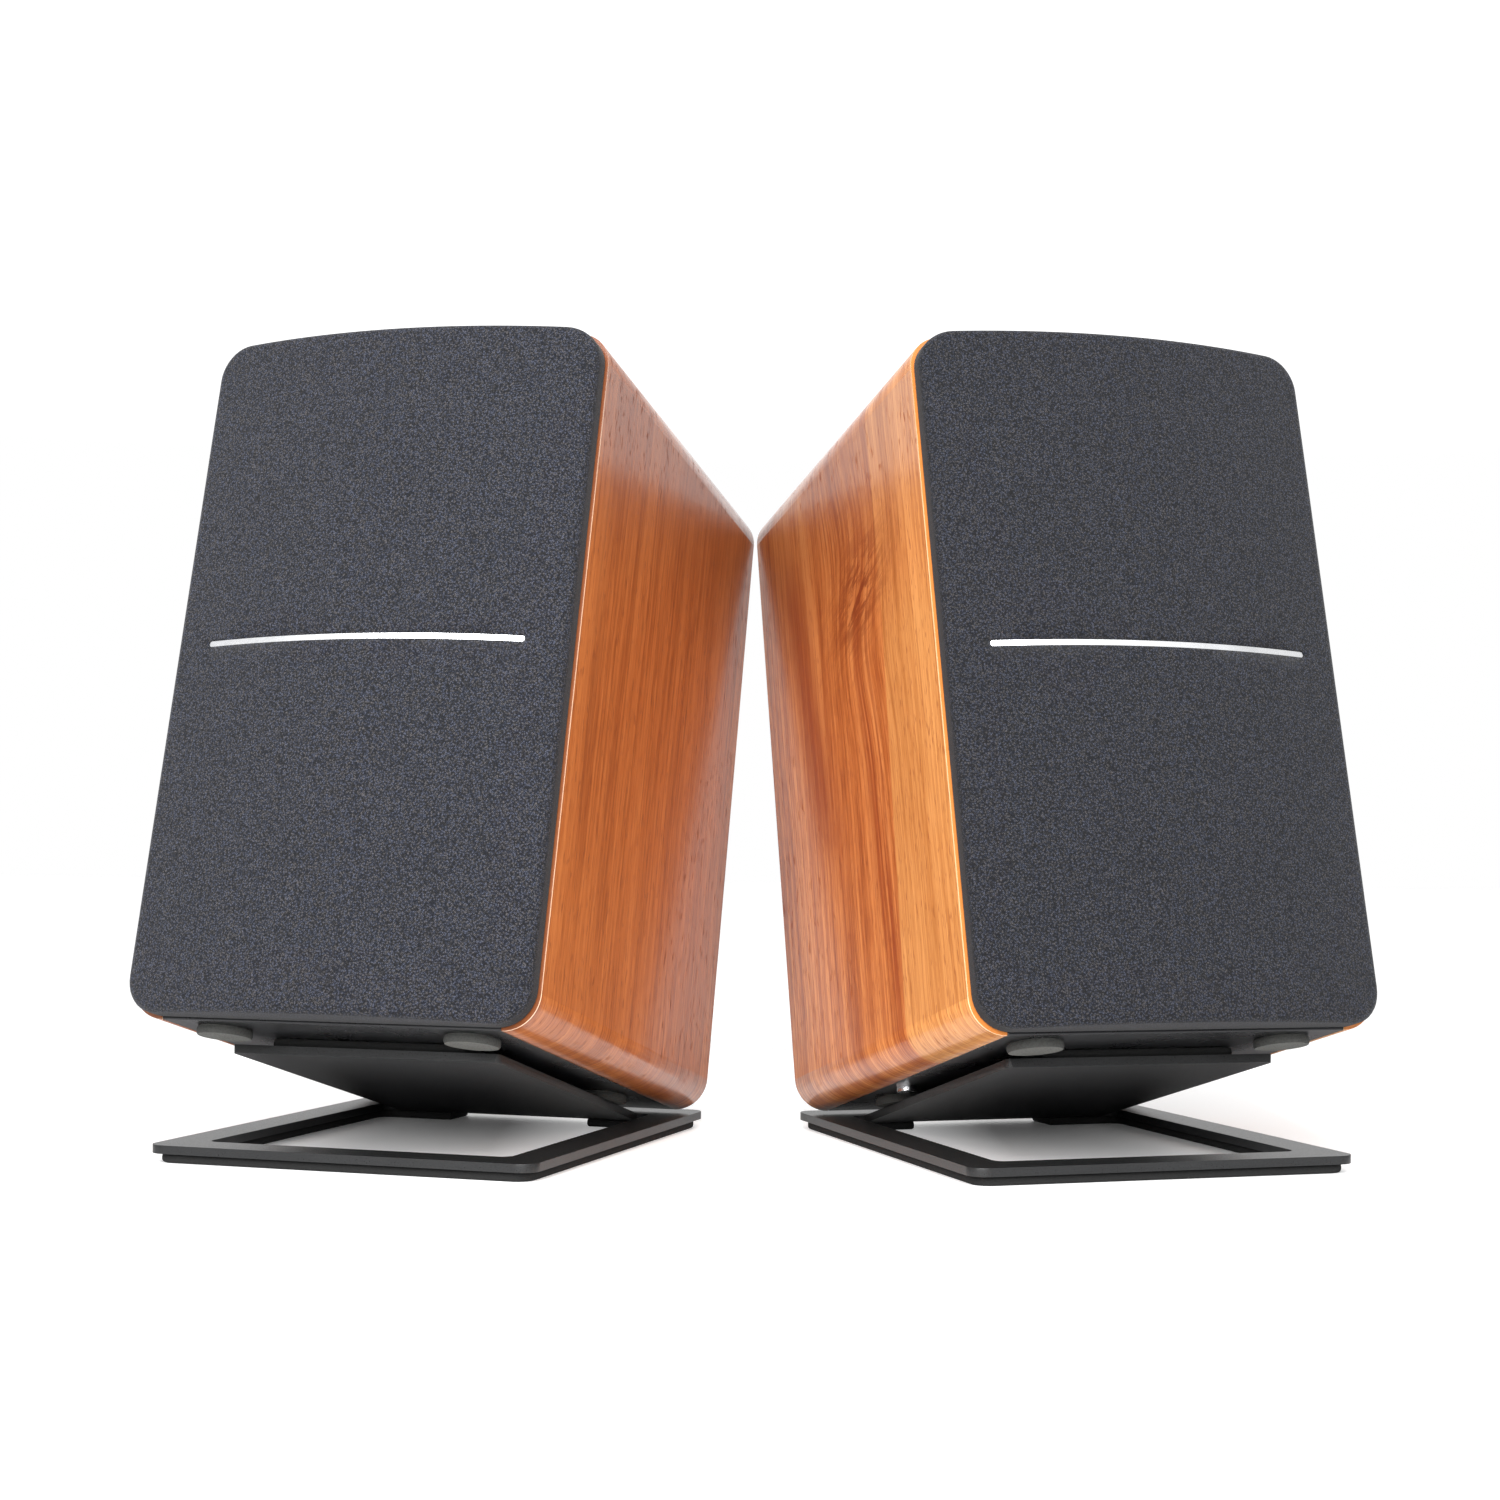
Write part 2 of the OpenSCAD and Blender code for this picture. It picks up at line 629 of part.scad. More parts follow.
module power_inlet()
    color([0.08, 0.08, 0.08]) at_speaker(right) translate([inlet_x, amp_face_y + gap, switch_z])
        difference() {
            union() {
                translate([-13, 0, -8]) cube([26, 1.5, 16]);
                translate([-10, -16, -6]) cube([20, 17, 12]);
            }
            // figure-eight socket
            translate([0, -10, 0]) rotate([-90, 0, 0]) linear_extrude(13) {
                for (x = [-4.2, 4.2]) translate([x, 0]) circle(3.8);
                square([8.4, 5], center = true);
            }
        }

module power_switch_body()
    color([0.09, 0.09, 0.09]) at_speaker(right) translate([switch_x, amp_face_y + gap, switch_z])
        difference() {
            union() {
                translate([-11, 0, -8]) cube([22, 1.5, 16]);
                translate([-9.5, -12, -6.5]) cube([19, 13, 13]);
            }
            translate([-7.5, -8, -5]) cube([15, 11, 10]);
            translate([-8.6, -3, 0]) rotate([0, 90, 0])
                cylinder(r = pivot_r + running_gap, h = 17.2, $fn = 32);
        }

module power_rocker()
    color([0.7, 0.06, 0.05]) at_speaker(right) translate([switch_x, amp_face_y + gap - 3, switch_z])
        rotate([rocker_off_angle, 0, 0]) {
        rotate([0, 90, 0]) translate([0, 0, -8.4]) cylinder(r = pivot_r, h = 16.8, $fn = 32);
        rotate([0, 90, 0]) translate([0, 0, -7.2]) cylinder(r = 3.4, h = 14.4, $fn = 48);
        // two faces that meet at a shallow angle
        translate([-7.2, 0, 0]) rotate([90, 0, 90]) linear_extrude(14.4)
            polygon([[-1, -4], [3.2, -4.4], [4.9, -4.1], [4.1, 0], [4.9, 4.1], [3.2, 4.4], [-1, 4]]);
    }

// ---------- controls, right speaker only ----------

// The control frame's origin is on the side panel's outer face; +Z points outward.
module at_controls()
    at_speaker(right) translate([cabinet_w / 2, control_y, control_z])
        rotate([90, 0, 90]) children();

module control_plate()
    color([0.1, 0.1, 0.11]) at_controls() difference() {
        union() {
            translate([0, 0, gap]) linear_extrude(1) rounded(control_w + 5, control_h + 5, 7);
            translate([0, 0, -12]) linear_extrude(12.5) rounded(control_w, control_h, 5);
        }
        translate([0, 0, -10]) linear_extrude(12) rounded(control_w - 4, control_h - 4, 4);
        for (y = knob_ys) translate([0, y, -13]) cylinder(r = shaft_r + 0.4, h = 4, $fn = 48);
    }

// Printed board with three potentiometers behind the control plate.
module control_board()
    color([0.1, 0.35, 0.2]) at_controls() {
        translate([-12, -42, -26]) cube([24, 84, 1.6]);
        for (y = knob_ys) {
            translate([-8, y - 8, -25]) cube([16, 16, 12 - gap]);
            translate([0, y, -14]) cylinder(r = shaft_r, h = 12, $fn = 48);
        }
    }

module knob(y)
    at_controls() translate([0, y, -9.4]) difference() {
        union() {
            cylinder(r = knob_r, h = knob_h - 1);
            translate([0, 0, knob_h - 1.1]) cylinder(r1 = knob_r, r2 = knob_r - 1, h = 1.1);
        }
        translate([0, 0, -1]) cylinder(r = shaft_r + running_gap, h = 9, $fn = 48);
        // pointer groove on the face
        translate([-0.4, 3, knob_h - 0.5]) cube([0.8, 6, 1]);
    }

module volume_knob() color([0.15, 0.15, 0.16]) knob(control_pitch);
module treble_knob() color([0.15, 0.15, 0.16]) knob(0);
module bass_knob() color([0.15, 0.15, 0.16]) knob(-control_pitch);

// ---------- nodes ----------

// Which piece to draw

stand_plates();
stand_base_pads();
stand_flap_pads();
side_panels(left);  // left_side_panels
cabinet_shell(left);  // left_cabinet_shell
front_baffle(left);  // left_front_baffle
rear_board(left);  // left_rear_board
feet(left);  // left_feet
port_tube(left);  // left_port_tube
grille_cloth(left);  // left_grille_cloth
grille_frame(left);  // left_grille_frame
grille_strip(left);  // left_grille_strip
woofer_basket(left);  // left_woofer_basket
woofer_motor(left);  // left_woofer_motor
woofer_surround(left);  // left_woofer_surround
woofer_spider(left);  // left_woofer_spider
woofer_cone(left);  // left_woofer_cone
tweeter_faceplate(left);  // left_tweeter_faceplate
tweeter_dome(left);  // left_tweeter_dome
tweeter_motor(left);  // left_tweeter_motor
driver_screws(left);  // left_driver_screws
terminal_block(left);  // left_terminal_block
terminal_lever_red(left);  // left_terminal_lever_red
terminal_lever_black(left);  // left_terminal_lever_black
crossover_board(left);  // left_crossover_board
side_panels(right);  // right_side_panels
cabinet_shell(right);  // right_cabinet_shell
front_baffle(right);  // right_front_baffle
rear_board(right);  // right_rear_board
feet(right);  // right_feet
port_tube(right);  // right_port_tube
grille_cloth(right);  // right_grille_cloth
grille_frame(right);  // right_grille_frame
grille_strip(right);  // right_grille_strip
woofer_basket(right);  // right_woofer_basket
woofer_motor(right);  // right_woofer_motor
woofer_surround(right);  // right_woofer_surround
woofer_spider(right);  // right_woofer_spider
woofer_cone(right);  // right_woofer_cone
tweeter_faceplate(right);  // right_tweeter_faceplate
tweeter_dome(right);  // right_tweeter_dome
tweeter_motor(right);  // right_tweeter_motor
driver_screws(right);  // right_driver_screws
terminal_block(right);  // right_terminal_block
terminal_lever_red(right);  // right_terminal_lever_red
terminal_lever_black(right);  // right_terminal_lever_black
amp_plate();
amp_plate_screws();
amp_board();
transformer();
transformer_screws();
line_jacks();
power_inlet();
power_switch_body();
power_rocker();
control_plate();
control_board();
volume_knob();
treble_knob();
bass_knob();
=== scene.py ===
"""Looks for a pair of wood-sided desktop speakers on bent-steel stands.

Metres, in the CAD frame: +Z up, the grilles face -Y. Each speaker also has its own upright
frame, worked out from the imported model: X across, Y to the rear, Z up along the cabinet, and
the origin at the middle of the cabinet's bottom front edge.
"""
import json
import math

import bmesh
import bpy
from mathutils import Euler, Matrix, Vector

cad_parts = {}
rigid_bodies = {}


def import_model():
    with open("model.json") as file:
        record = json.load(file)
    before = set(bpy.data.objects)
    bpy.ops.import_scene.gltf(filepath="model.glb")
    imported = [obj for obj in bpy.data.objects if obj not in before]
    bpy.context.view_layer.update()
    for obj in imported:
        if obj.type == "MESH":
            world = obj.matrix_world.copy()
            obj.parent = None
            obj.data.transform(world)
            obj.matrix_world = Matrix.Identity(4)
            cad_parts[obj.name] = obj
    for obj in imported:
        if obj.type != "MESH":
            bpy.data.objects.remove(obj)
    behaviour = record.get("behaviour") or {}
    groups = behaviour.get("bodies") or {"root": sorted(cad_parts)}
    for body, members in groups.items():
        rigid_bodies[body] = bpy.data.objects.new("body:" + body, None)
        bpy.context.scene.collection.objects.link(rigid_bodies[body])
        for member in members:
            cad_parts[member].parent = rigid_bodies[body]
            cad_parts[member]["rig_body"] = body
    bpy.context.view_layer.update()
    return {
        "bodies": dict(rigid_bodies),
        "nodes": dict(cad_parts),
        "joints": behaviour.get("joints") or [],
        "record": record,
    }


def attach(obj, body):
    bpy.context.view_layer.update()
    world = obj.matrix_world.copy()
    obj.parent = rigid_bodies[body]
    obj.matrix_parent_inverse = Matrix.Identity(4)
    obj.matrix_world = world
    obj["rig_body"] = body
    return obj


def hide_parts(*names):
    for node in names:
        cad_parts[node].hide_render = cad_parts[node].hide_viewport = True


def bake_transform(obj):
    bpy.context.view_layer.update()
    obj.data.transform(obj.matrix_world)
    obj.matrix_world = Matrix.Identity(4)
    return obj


MM = 0.001

# ---------- soft pieces, sizes that the CAD solids leave open ----------
CLOTH_T = 0.8 * MM
CLOTH_FOLD = 2.4 * MM            # radius of the cloth's edge over the frame
SLOT_GAP = 0.2 * MM
RUBBER_T = 0.75 * MM
ROLL_R = 4.2 * MM                # middle of the woofer surround's half roll
RUBBER_FLANGE = 3.5 * MM         # width glued to the basket
RUBBER_LIP = 2.8 * MM            # width glued to the cone
GLUE_GAP = 0.05 * MM
SILK_T = 0.35 * MM
SILK_EDGE = 2.0 * MM             # flat ring round the tweeter's dome
COIL_INSET = 2.25 * MM           # from the silk's rim to the voice coil's inside
COIL_LENGTH = 4.6 * MM
SPIDER_T = 0.6 * MM
SPIDER_INNER_R = 12.4 * MM
SPIDER_FLANGE = 3.2 * MM         # width glued to the basket
SPIDER_RIPPLE = 0.2 * MM
SPIDER_RIPPLES = 5
SPIDER_CLOTH = ((0.42, 0.3, 0.12), 0.7)    # colour, and pitch of the threads in mm
FOAM_BULGE = 0.35 * MM
PAD_SOFT = 0.45 * MM             # how far the pads' edges are rounded in
FOOT_SOFT = 0.12 * MM
EDGE_WIDTHS = {                  # rounded edges on the CAD nodes that show
    "side_panels": 0.65 * MM,
    "cabinet_shell": 0.5 * MM,
    "stand_plates": 0.5 * MM,
    "control_plate": 0.35 * MM,
    "volume_knob": 0.4 * MM,
    "treble_knob": 0.4 * MM,
    "bass_knob": 0.4 * MM,
    "amp_plate": 0.3 * MM,
    "power_rocker": 0.3 * MM,
}

# ---------- camera, in the CAD frame ----------
CAMERA_PLACE = (-5.2 * MM, -867.5 * MM, 105.3 * MM)
CAMERA_YAW = math.radians(-0.23)
CAMERA_PITCH = math.radians(2.27)
CAMERA_ROLL = math.radians(0.54)
CAMERA_SENSOR = 36
CAMERA_LENS = 57.9               # for that sensor

# ---------- veneer; depths, heights and widths are in mm in the speaker's own frame ----------
BAND_FADE = 25                   # half the height over which a dark band's ends fade
TOP_SHADE = (140, 225)           # height over which painted shade darkens the wood
PAINTED_HIGHLIGHT_FADE = (170, 220)    # height over which the painted highlight along the front corner fades
# colours run from dark to pale; dark bands are (depth, lean, spread, lowest, highest, strength,
# share of fine streaks); the knot is (depth, height), the plank (depth below, depth above, top)
VENEER = {
    "left": {
        "colours": ((0.23, 0.056, 0.012), (0.35, 0.102, 0.024), (0.46, 0.153, 0.041)),
        "dark_tint": (0.11, 0.023, 0.007),
        "dark_bands": [(19, 0, 5, 60, 240, 0.3, 1.0), (44, 0, 4, 0, 110, 0.2, 1.0)],
        "band_tint": (0.13, 0.025, 0.007),
        # the front face, painted dark brown as shadow from the grille
        "edge": (0.17, 0.045, 0.010),
        # painted highlight along the front corner
        "corner": (1.0, 0.72, 0.50),
        "streaks": 0.45,
    },
    "right": {
        # paler than the left's, partly the veneer's own colour and partly painted light for the brighter
        # light on this panel
        "colours": ((0.28, 0.065, 0.013), (0.48, 0.153, 0.037), (0.67, 0.27, 0.082)),
        "dark_tint": (0.17, 0.029, 0.007),
        "dark_bands": [(116, 22, 13, 85, 205, 0.75, 0.25), (66, -4, 12, 15, 150, 0.5, 1.0),
                       (64, 6, 10, 135, 210, 0.45, 1.0)],
        "band_tint": (0.23, 0.036, 0.008),
        # the front face, the wood's own orange with painted light where it is lit
        "edge": (0.52, 0.16, 0.025),
        # painted highlight along the front corner
        "corner": (1.0, 0.66, 0.38),
        "streaks": 0.4,
        "knot": (64, 167),
        "plank": (54, 44, 152),
        "plank_colours": ((0.40, 0.145, 0.034), (0.66, 0.31, 0.100)),
    },
}

# ---------- the grilles' cloth ----------
# painted shade: the right cloth is made darker than the left, standing in for the light falling less on
# it
CLOTH_LIGHTNESS_AND_SHADE = {"left": 0.39, "right": 0.30}
THREAD_PITCH = 0.62              # mm
CLOTH_SHADE_DEPTHS = (-6.3, -4.0)        # depth in mm, where the cloth turns round the frame, over which painted shade darkens it

# ---------- strength of the white surround ----------
FRONT_LOW = 0.25                 # around the camera
FRONT_HIGH = 1.3
REAR_LOW = 0.65
REAR_HIGH = 1.45                 # as the lacquer mirrors it
REAR_SOFT = 0.7                  # as it lights matt surfaces
SIDE_SHARE = 0.6
SOFTBOX_PLACE = (-0.2, -1.3, 0.8)
SOFTBOX_TARGET = (0, 0, 0.1)
SOFTBOX_SIZE = (1.5, 1.0)
SOFTBOX_POWER = 43
PAPER_HALF_WIDTH = 6
PAPER_PAINTED_LIGHT = 0.03                # painted light: glow the camera sees on the paper, lifting its shade
PAPER_PAINTED_LIGHT_FRONT = 0.4
PAPER_PAINTED_LIGHT_BETWEEN = 0.3

# ---------- where the floor changes, in mm in the CAD frame ----------
UNDER_FRONT = (-115, -35)        # depth, from clear floor to the shade under the speakers
STAND_FRONT = (-30, 10)          # depth, near the stands' front edges
FAR_FLOOR = (60, 320)            # depth
FLOOR_END = (300, 400)           # depth, behind the speakers
STAND_INSIDE = (60, 95)          # distance from the middle, near the stands' inner edges
STAND_OUTSIDE = (205, 245)       # distance from the middle, beyond their outer corners


# ---------- the speakers' own frames ----------

class Speaker:
    """One speaker's own frame and main sizes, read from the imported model."""

    def __init__(self, frame, side):
        self.side = side
        self.nodes = frame["nodes"]
        pull = next(j for j in frame["joints"] if j["name"] == side + "_grille_pull")
        rear = -Vector(pull["axis"]).normalized()
        right = rear.cross(Vector((0, 0, 1))).normalized()
        up = right.cross(rear)
        self.up = up
        self.matrix = Matrix((right, rear, up)).transposed().to_4x4()
        low, high = self.box(side + "_side_panels")
        corner = Vector(((low.x + high.x) / 2, low.y, low.z))
        self.matrix = self.matrix @ Matrix.Translation(corner)

    def cloud(self, node):
        """A CAD node's vertices in this frame."""
        inverse = self.matrix.inverted()
        return [inverse @ vertex.co for vertex in self.nodes[node].data.vertices]

    def box(self, node):
        """Lowest and highest corners of a CAD node in this frame."""
        cloud = self.cloud(node)
        low = Vector([min(point[i] for point in cloud) for i in range(3)])
        high = Vector([max(point[i] for point in cloud) for i in range(3)])
        return low, high


# ---------- shader helpers ----------

class NodeTree:
    """A tree of shader nodes; each method adds one or a few nodes and returns the output."""

    def __init__(self, tree):
        self.nodes = tree.nodes
        self.links = tree.links

    def add(self, kind, **settings):
        made = self.nodes.new(kind)
        for key, value in settings.items():
            setattr(made, key, value)
        return made

    def put(self, socket, value):
        if isinstance(value, bpy.types.NodeSocket):
            self.links.new(value, socket)
        elif isinstance(value, tuple) and socket.type == "RGBA":
            socket.default_value = value + (1,)
        else:
            socket.default_value = value

    def point(self):
        """The piece's place in the CAD frame, in millimetres."""
        return self.scaled(self.add("ShaderNodeTexCoord").outputs["Object"], (1000, 1000, 1000))

    def speaker_point(self, speaker):
        """The piece's place in one speaker's own frame, in millimetres."""
        place, turn, _ = speaker.matrix.decompose()
        mapping = self.add("ShaderNodeMapping", vector_type="TEXTURE")
        self.put(mapping.inputs["Vector"], self.add("ShaderNodeTexCoord").outputs["Object"])
        mapping.inputs["Location"].default_value = place
        mapping.inputs["Rotation"].default_value = turn.to_euler("XYZ")
        return self.scaled(mapping.outputs["Vector"], (1000, 1000, 1000))

    def scaled(self, vector, scale):
        mapping = self.add("ShaderNodeMapping")
        self.put(mapping.inputs["Vector"], vector)
        mapping.inputs["Scale"].default_value = scale
        return mapping.outputs["Vector"]

    def parts(self, vector):
        made = self.add("ShaderNodeSeparateXYZ")
        self.put(made.inputs[0], vector)
        return made.outputs

    def joined(self, x, y, z):
        made = self.add("ShaderNodeCombineXYZ")
        for socket, value in zip(made.inputs, (x, y, z)):
            self.put(socket, value)
        return made.outputs[0]

    def math(self, operation, a, b=0.0, c=0.0):
        made = self.add("ShaderNodeMath", operation=operation)
        for socket, value in zip(made.inputs, (a, b, c)):
            self.put(socket, value)
        return made.outputs[0]

    def facing_up(self):
        """How far the surface looks up: 1 up, 0 sideways, -1 down."""
        return self.parts(self.add("ShaderNodeNewGeometry").outputs["Normal"])["Z"]

    def noise(self, vector, scale=1.0, detail=4.0, roughness=0.5, distortion=0.0):
        made = self.add("ShaderNodeTexNoise")
        self.put(made.inputs["Vector"], vector)
        made.inputs["Scale"].default_value = scale
        made.inputs["Detail"].default_value = detail
        made.inputs["Roughness"].default_value = roughness
        made.inputs["Distortion"].default_value = distortion
        return made.outputs["Fac"]

    def cells(self, vector, scale):
        made = self.add("ShaderNodeTexVoronoi")
        self.put(made.inputs["Vector"], vector)
        made.inputs["Scale"].default_value = scale
        return made.outputs["Distance"]

    def ramp(self, value, *stops):
        """stops are (place, colour)."""
        made = self.add("ShaderNodeValToRGB")
        self.put(made.inputs["Fac"], value)
        while len(made.color_ramp.elements) < len(stops):
            made.color_ramp.elements.new(0.5)
        for element, (place, colour) in zip(made.color_ramp.elements, stops):
            element.position = place
            element.color = colour + (1,)
        return made.outputs["Color"]

    def span(self, value, low, high, new_low=0.0, new_high=1.0, soft=False):
        made = self.add("ShaderNodeMapRange")
        if soft:
            made.interpolation_type = "SMOOTHSTEP"
        for socket, number in zip(made.inputs, (value, low, high, new_low, new_high)):
            self.put(socket, number)
        return made.outputs["Result"]

    def mix(self, factor, a, b, blend="MIX"):
        made = self.add("ShaderNodeMix", data_type="RGBA", blend_type=blend)
        colours = [socket for socket in made.inputs if socket.type == "RGBA"]
        self.put(made.inputs["Factor"], factor)
        self.put(colours[0], a)
        self.put(colours[1], b)
        return next(socket for socket in made.outputs if socket.type == "RGBA")

    def hill(self, *terms):
        """A smooth hill, 1 at its top; terms are (value, middle, spread)."""
        total = 0.0
        for value, middle, spread in terms:
            off = self.math("DIVIDE", self.math("SUBTRACT", value, middle), spread)
            total = self.math("MULTIPLY_ADD", off, off, total)
        return self.math("EXPONENT", self.math("MULTIPLY", total, -1.0))

    def bump(self, height, distance, strength=1.0):
        made = self.add("ShaderNodeBump")
        self.put(made.inputs["Height"], height)
        made.inputs["Distance"].default_value = distance
        made.inputs["Strength"].default_value = strength
        return made.outputs["Normal"]


class Shader(NodeTree):
    """A node material round one Principled BSDF."""

    def __init__(self, name):
        self.material = bpy.data.materials.new(name)
        self.material.use_nodes = True
        super().__init__(self.material.node_tree)

    def surface(self, **inputs):
        """Sets the Principled BSDF's inputs, with _ for each space in their names."""
        for key, value in inputs.items():
            self.put(self.nodes["Principled BSDF"].inputs[key.replace("_", " ")], value)


# ---------- materials ----------

def grille_cloth(name, speaker, light):
    """Fine blue-grey woven cloth with lighter and coloured flecks."""
    s = Shader(name)
    p = s.speaker_point(speaker)
    xyz = s.parts(p)
    thread = 2 * math.pi / THREAD_PITCH
    wobble = s.math("MULTIPLY", s.noise(p, 0.9, 2), 2.2)
    warp = s.math("SINE", s.math("MULTIPLY_ADD", xyz["X"], thread, wobble))
    weft = s.math("SINE", s.math("MULTIPLY_ADD", xyz["Z"], thread, wobble))
    weave = s.span(s.math("MULTIPLY", warp, weft), -1, 1)
    # crinkled thread crowns less than a millimetre apart, with dark pits between them
    crown = s.span(s.cells(p, 1.7), 0.1, 0.75, 1.0, 0.0)
    fleck = s.noise(p, 2.0, 3, 0.7)
    tone = s.math("ADD", s.math("MULTIPLY", weave, 0.15), s.math("MULTIPLY", fleck, 0.65))
    tone = s.math("MULTIPLY_ADD", crown, 0.3, tone)
    # light sets each cloth's lightness, the right one's painted shade included
    stops = ((0.42, (0.012, 0.013, 0.018)), (0.56, (0.046, 0.049, 0.064)), (0.70, (0.15, 0.15, 0.18)))
    colour = s.ramp(tone, *((place, tuple(light * c for c in shade)) for place, shade in stops))
    tint = s.mix(s.span(s.noise(p, 1.2, 1), 0.4, 0.6), (1.08, 0.99, 0.84), (0.90, 0.99, 1.16))
    colour = s.mix(1.0, colour, tint, "MULTIPLY")
    # painted shade: the cloth is darkened on its sides, where it turns round the frame's edge
    painted_side_shade = s.span(xyz["Y"], *CLOTH_SHADE_DEPTHS, 0.0, 0.7)
    colour = s.mix(painted_side_shade, colour, (0.004, 0.004, 0.005))
    s.surface(Base_Color=colour, Roughness=0.9, Sheen_Weight=0.1, Sheen_Roughness=0.5,
              Specular_IOR_Level=0.2, Normal=s.bump(tone, 0.12 * MM, 0.5))
    return s.material


def wood_grain(s, x, y, z, across, along, detail=4.0):
    """Streaks that run up the panel and round its edges; sizes are in mm, the result from 0 to 1."""
    place = s.joined(s.math("MULTIPLY", x, 1 / along), s.math("MULTIPLY", y, 1 / across),
                     s.math("MULTIPLY", z, 1 / along))
    return s.noise(place, 1.0, detail, 0.6, 0.1)


def knot_figure(s, y, z, knot):
    """Dark streaks that cross the grain at a knot, and how far the grain bends round it."""
    knot_y, knot_z = knot
    slope_y, slope_z = 0.93, 0.37
    along = s.math("SUBTRACT", s.math("MULTIPLY", y, slope_y), s.math("MULTIPLY", z, slope_z))
    over = s.math("ADD", s.math("MULTIPLY", y, slope_z), s.math("MULTIPLY", z, slope_y))
    place = s.joined(s.math("MULTIPLY", along, 0.06), s.math("MULTIPLY", over, 0.28), 0.0)
    knot_over = knot_y * slope_z + knot_z * slope_y
    knot_along = knot_y * slope_y - knot_z * slope_z
    reach = s.hill((over, knot_over, 18), (along, knot_along, 27))
    ticks = s.math("MULTIPLY", s.span(s.noise(place, 1.0, 5, 0.75, 0.6), 0.43, 0.56), reach)
    lean = s.math("MULTIPLY", s.math("SUBTRACT", z, knot_z), 0.5)
    return ticks, s.math("MULTIPLY", s.hill((y, knot_y, 26), (z, knot_z, 32)), lean)


def dark_bands(s, y, z, look, streaky, colour):
    """Lays the look's broad dark bands over colour; streaky breaks them into fine streaks."""
    for band_y, lean, spread, low_z, high_z, strength, streak_share in look["dark_bands"]:
        middle_y = s.span(z, low_z, high_z, band_y, band_y + lean)
        band = s.hill((s.math("SUBTRACT", y, middle_y), 0.0, spread))
        streak = s.mix(streak_share, (1.0, 1.0, 1.0), streaky)
        band = s.math("MULTIPLY", band, s.math("MULTIPLY", streak, strength))
        for end_z, below, above in ((low_z, 0, 1), (high_z, 1, 0)):
            fade = s.span(z, end_z - BAND_FADE, end_z + BAND_FADE, below, above, soft=True)
            band = s.math("MULTIPLY", band, fade)
        colour = s.mix(s.math("MINIMUM", band, 0.9), colour, look["band_tint"])
    return colour


def front_plank(s, y, z, look, tone, colour):
    """Lays the paler leaf of veneer at the front over colour, fainter above its top."""
    bottom_y, top_y, top_z = look["plank"]
    seam = s.span(z, 0, top_z, bottom_y, top_y)
    share = s.span(s.math("SUBTRACT", seam, y), -0.3, 0.3)
    share = s.math("MULTIPLY", share, s.span(z, top_z - 12, top_z + 12, 1, 0.45))
    return s.mix(share, colour, s.mix(s.span(tone, 0.4, 0.6), *look["plank_colours"]))


def panel_edge(s, y, z, look, colour):
    """The front face beside the grille, in colours with painted light and shade, then a painted
    highlight along its corner.
    """
    # the front face, its colour carrying painted light and shade
    colour = s.mix(s.span(y, 0.05, 0.25, 0.85, 0.0), colour, look["edge"])
    # painted highlight: a pale line along the corner, fainter towards the top
    line = s.span(s.hill((y, 0.38, 0.28)), 0.2, 0.7)
    line = s.math("MULTIPLY", line, s.span(z, *PAINTED_HIGHLIGHT_FADE, 1, 0.3))
    return s.mix(line, colour, look["corner"])


def wood(name, speaker, look):
    """Satin-lacquered veneer; look holds its colours and the figure of each side."""
    s = Shader(name)
    p = s.speaker_point(speaker)
    xyz = s.parts(p)
    x, true_y, z = xyz["X"], xyz["Y"], xyz["Z"]
    sway = s.math("MULTIPLY", s.noise(s.scaled(p, (0.009, 0.02, 0.006)), 1.0, 2), 9.0)
    y = s.math("ADD", true_y, sway)
    if "knot" in look:
        ticks, lean = knot_figure(s, true_y, z, look["knot"])
        y = s.math("ADD", y, lean)
    bands = wood_grain(s, x, y, z, 12, 260, 2)
    lines = wood_grain(s, x, y, z, 1.7, 95)
    fibres = wood_grain(s, x, y, z, 0.6, 14, 3)
    tone = s.math("ADD", s.math("MULTIPLY", bands, 0.30), s.math("MULTIPLY", lines, 0.38))
    tone = s.math("MULTIPLY_ADD", fibres, 0.32, tone)
    dark, middle, pale = look["colours"]
    colour = s.ramp(tone, (0.41, dark), (0.5, middle), (0.59, pale))
    streaky = s.span(wood_grain(s, x, y, z, 3.2, 120, 2), 0.42, 0.58, 1.7, 0.3)
    colour = dark_bands(s, y, z, look, streaky, colour)
    # painted shade: the veneer darkens towards its top, where less light falls
    shade = s.span(z, *TOP_SHADE, 0.0, 0.5, soft=True)
    colour = s.mix(shade, colour, (0.11, 0.024, 0.008))
    if "plank" in look:
        colour = front_plank(s, true_y, z, look, tone, colour)
    # long thin dark lines, then short dark pores
    streaks = s.span(wood_grain(s, x, y, z, 2.1, 70, 3), 0.60, 0.74, 0.0, look["streaks"])
    colour = s.mix(streaks, colour, look["dark_tint"])
    pores = s.span(wood_grain(s, x, true_y, z, 1.1, 5.0, 1), 0.61, 0.70)
    colour = s.mix(s.math("MULTIPLY", pores, 0.55), colour, look["dark_tint"])
    if "knot" in look:
        colour = s.mix(ticks, colour, look["dark_tint"])
    s.surface(Base_Color=panel_edge(s, true_y, z, look, colour), Roughness=0.5,
              Specular_IOR_Level=0.25, Coat_Weight=s.math("MULTIPLY_ADD", pores, -0.8, 0.85),
              Coat_Roughness=s.span(tone, 0.3, 0.7, 0.22, 0.18),
              Normal=s.bump(s.math("MULTIPLY_ADD", pores, -1.0, tone), 0.04 * MM, 0.3))
    return s.material


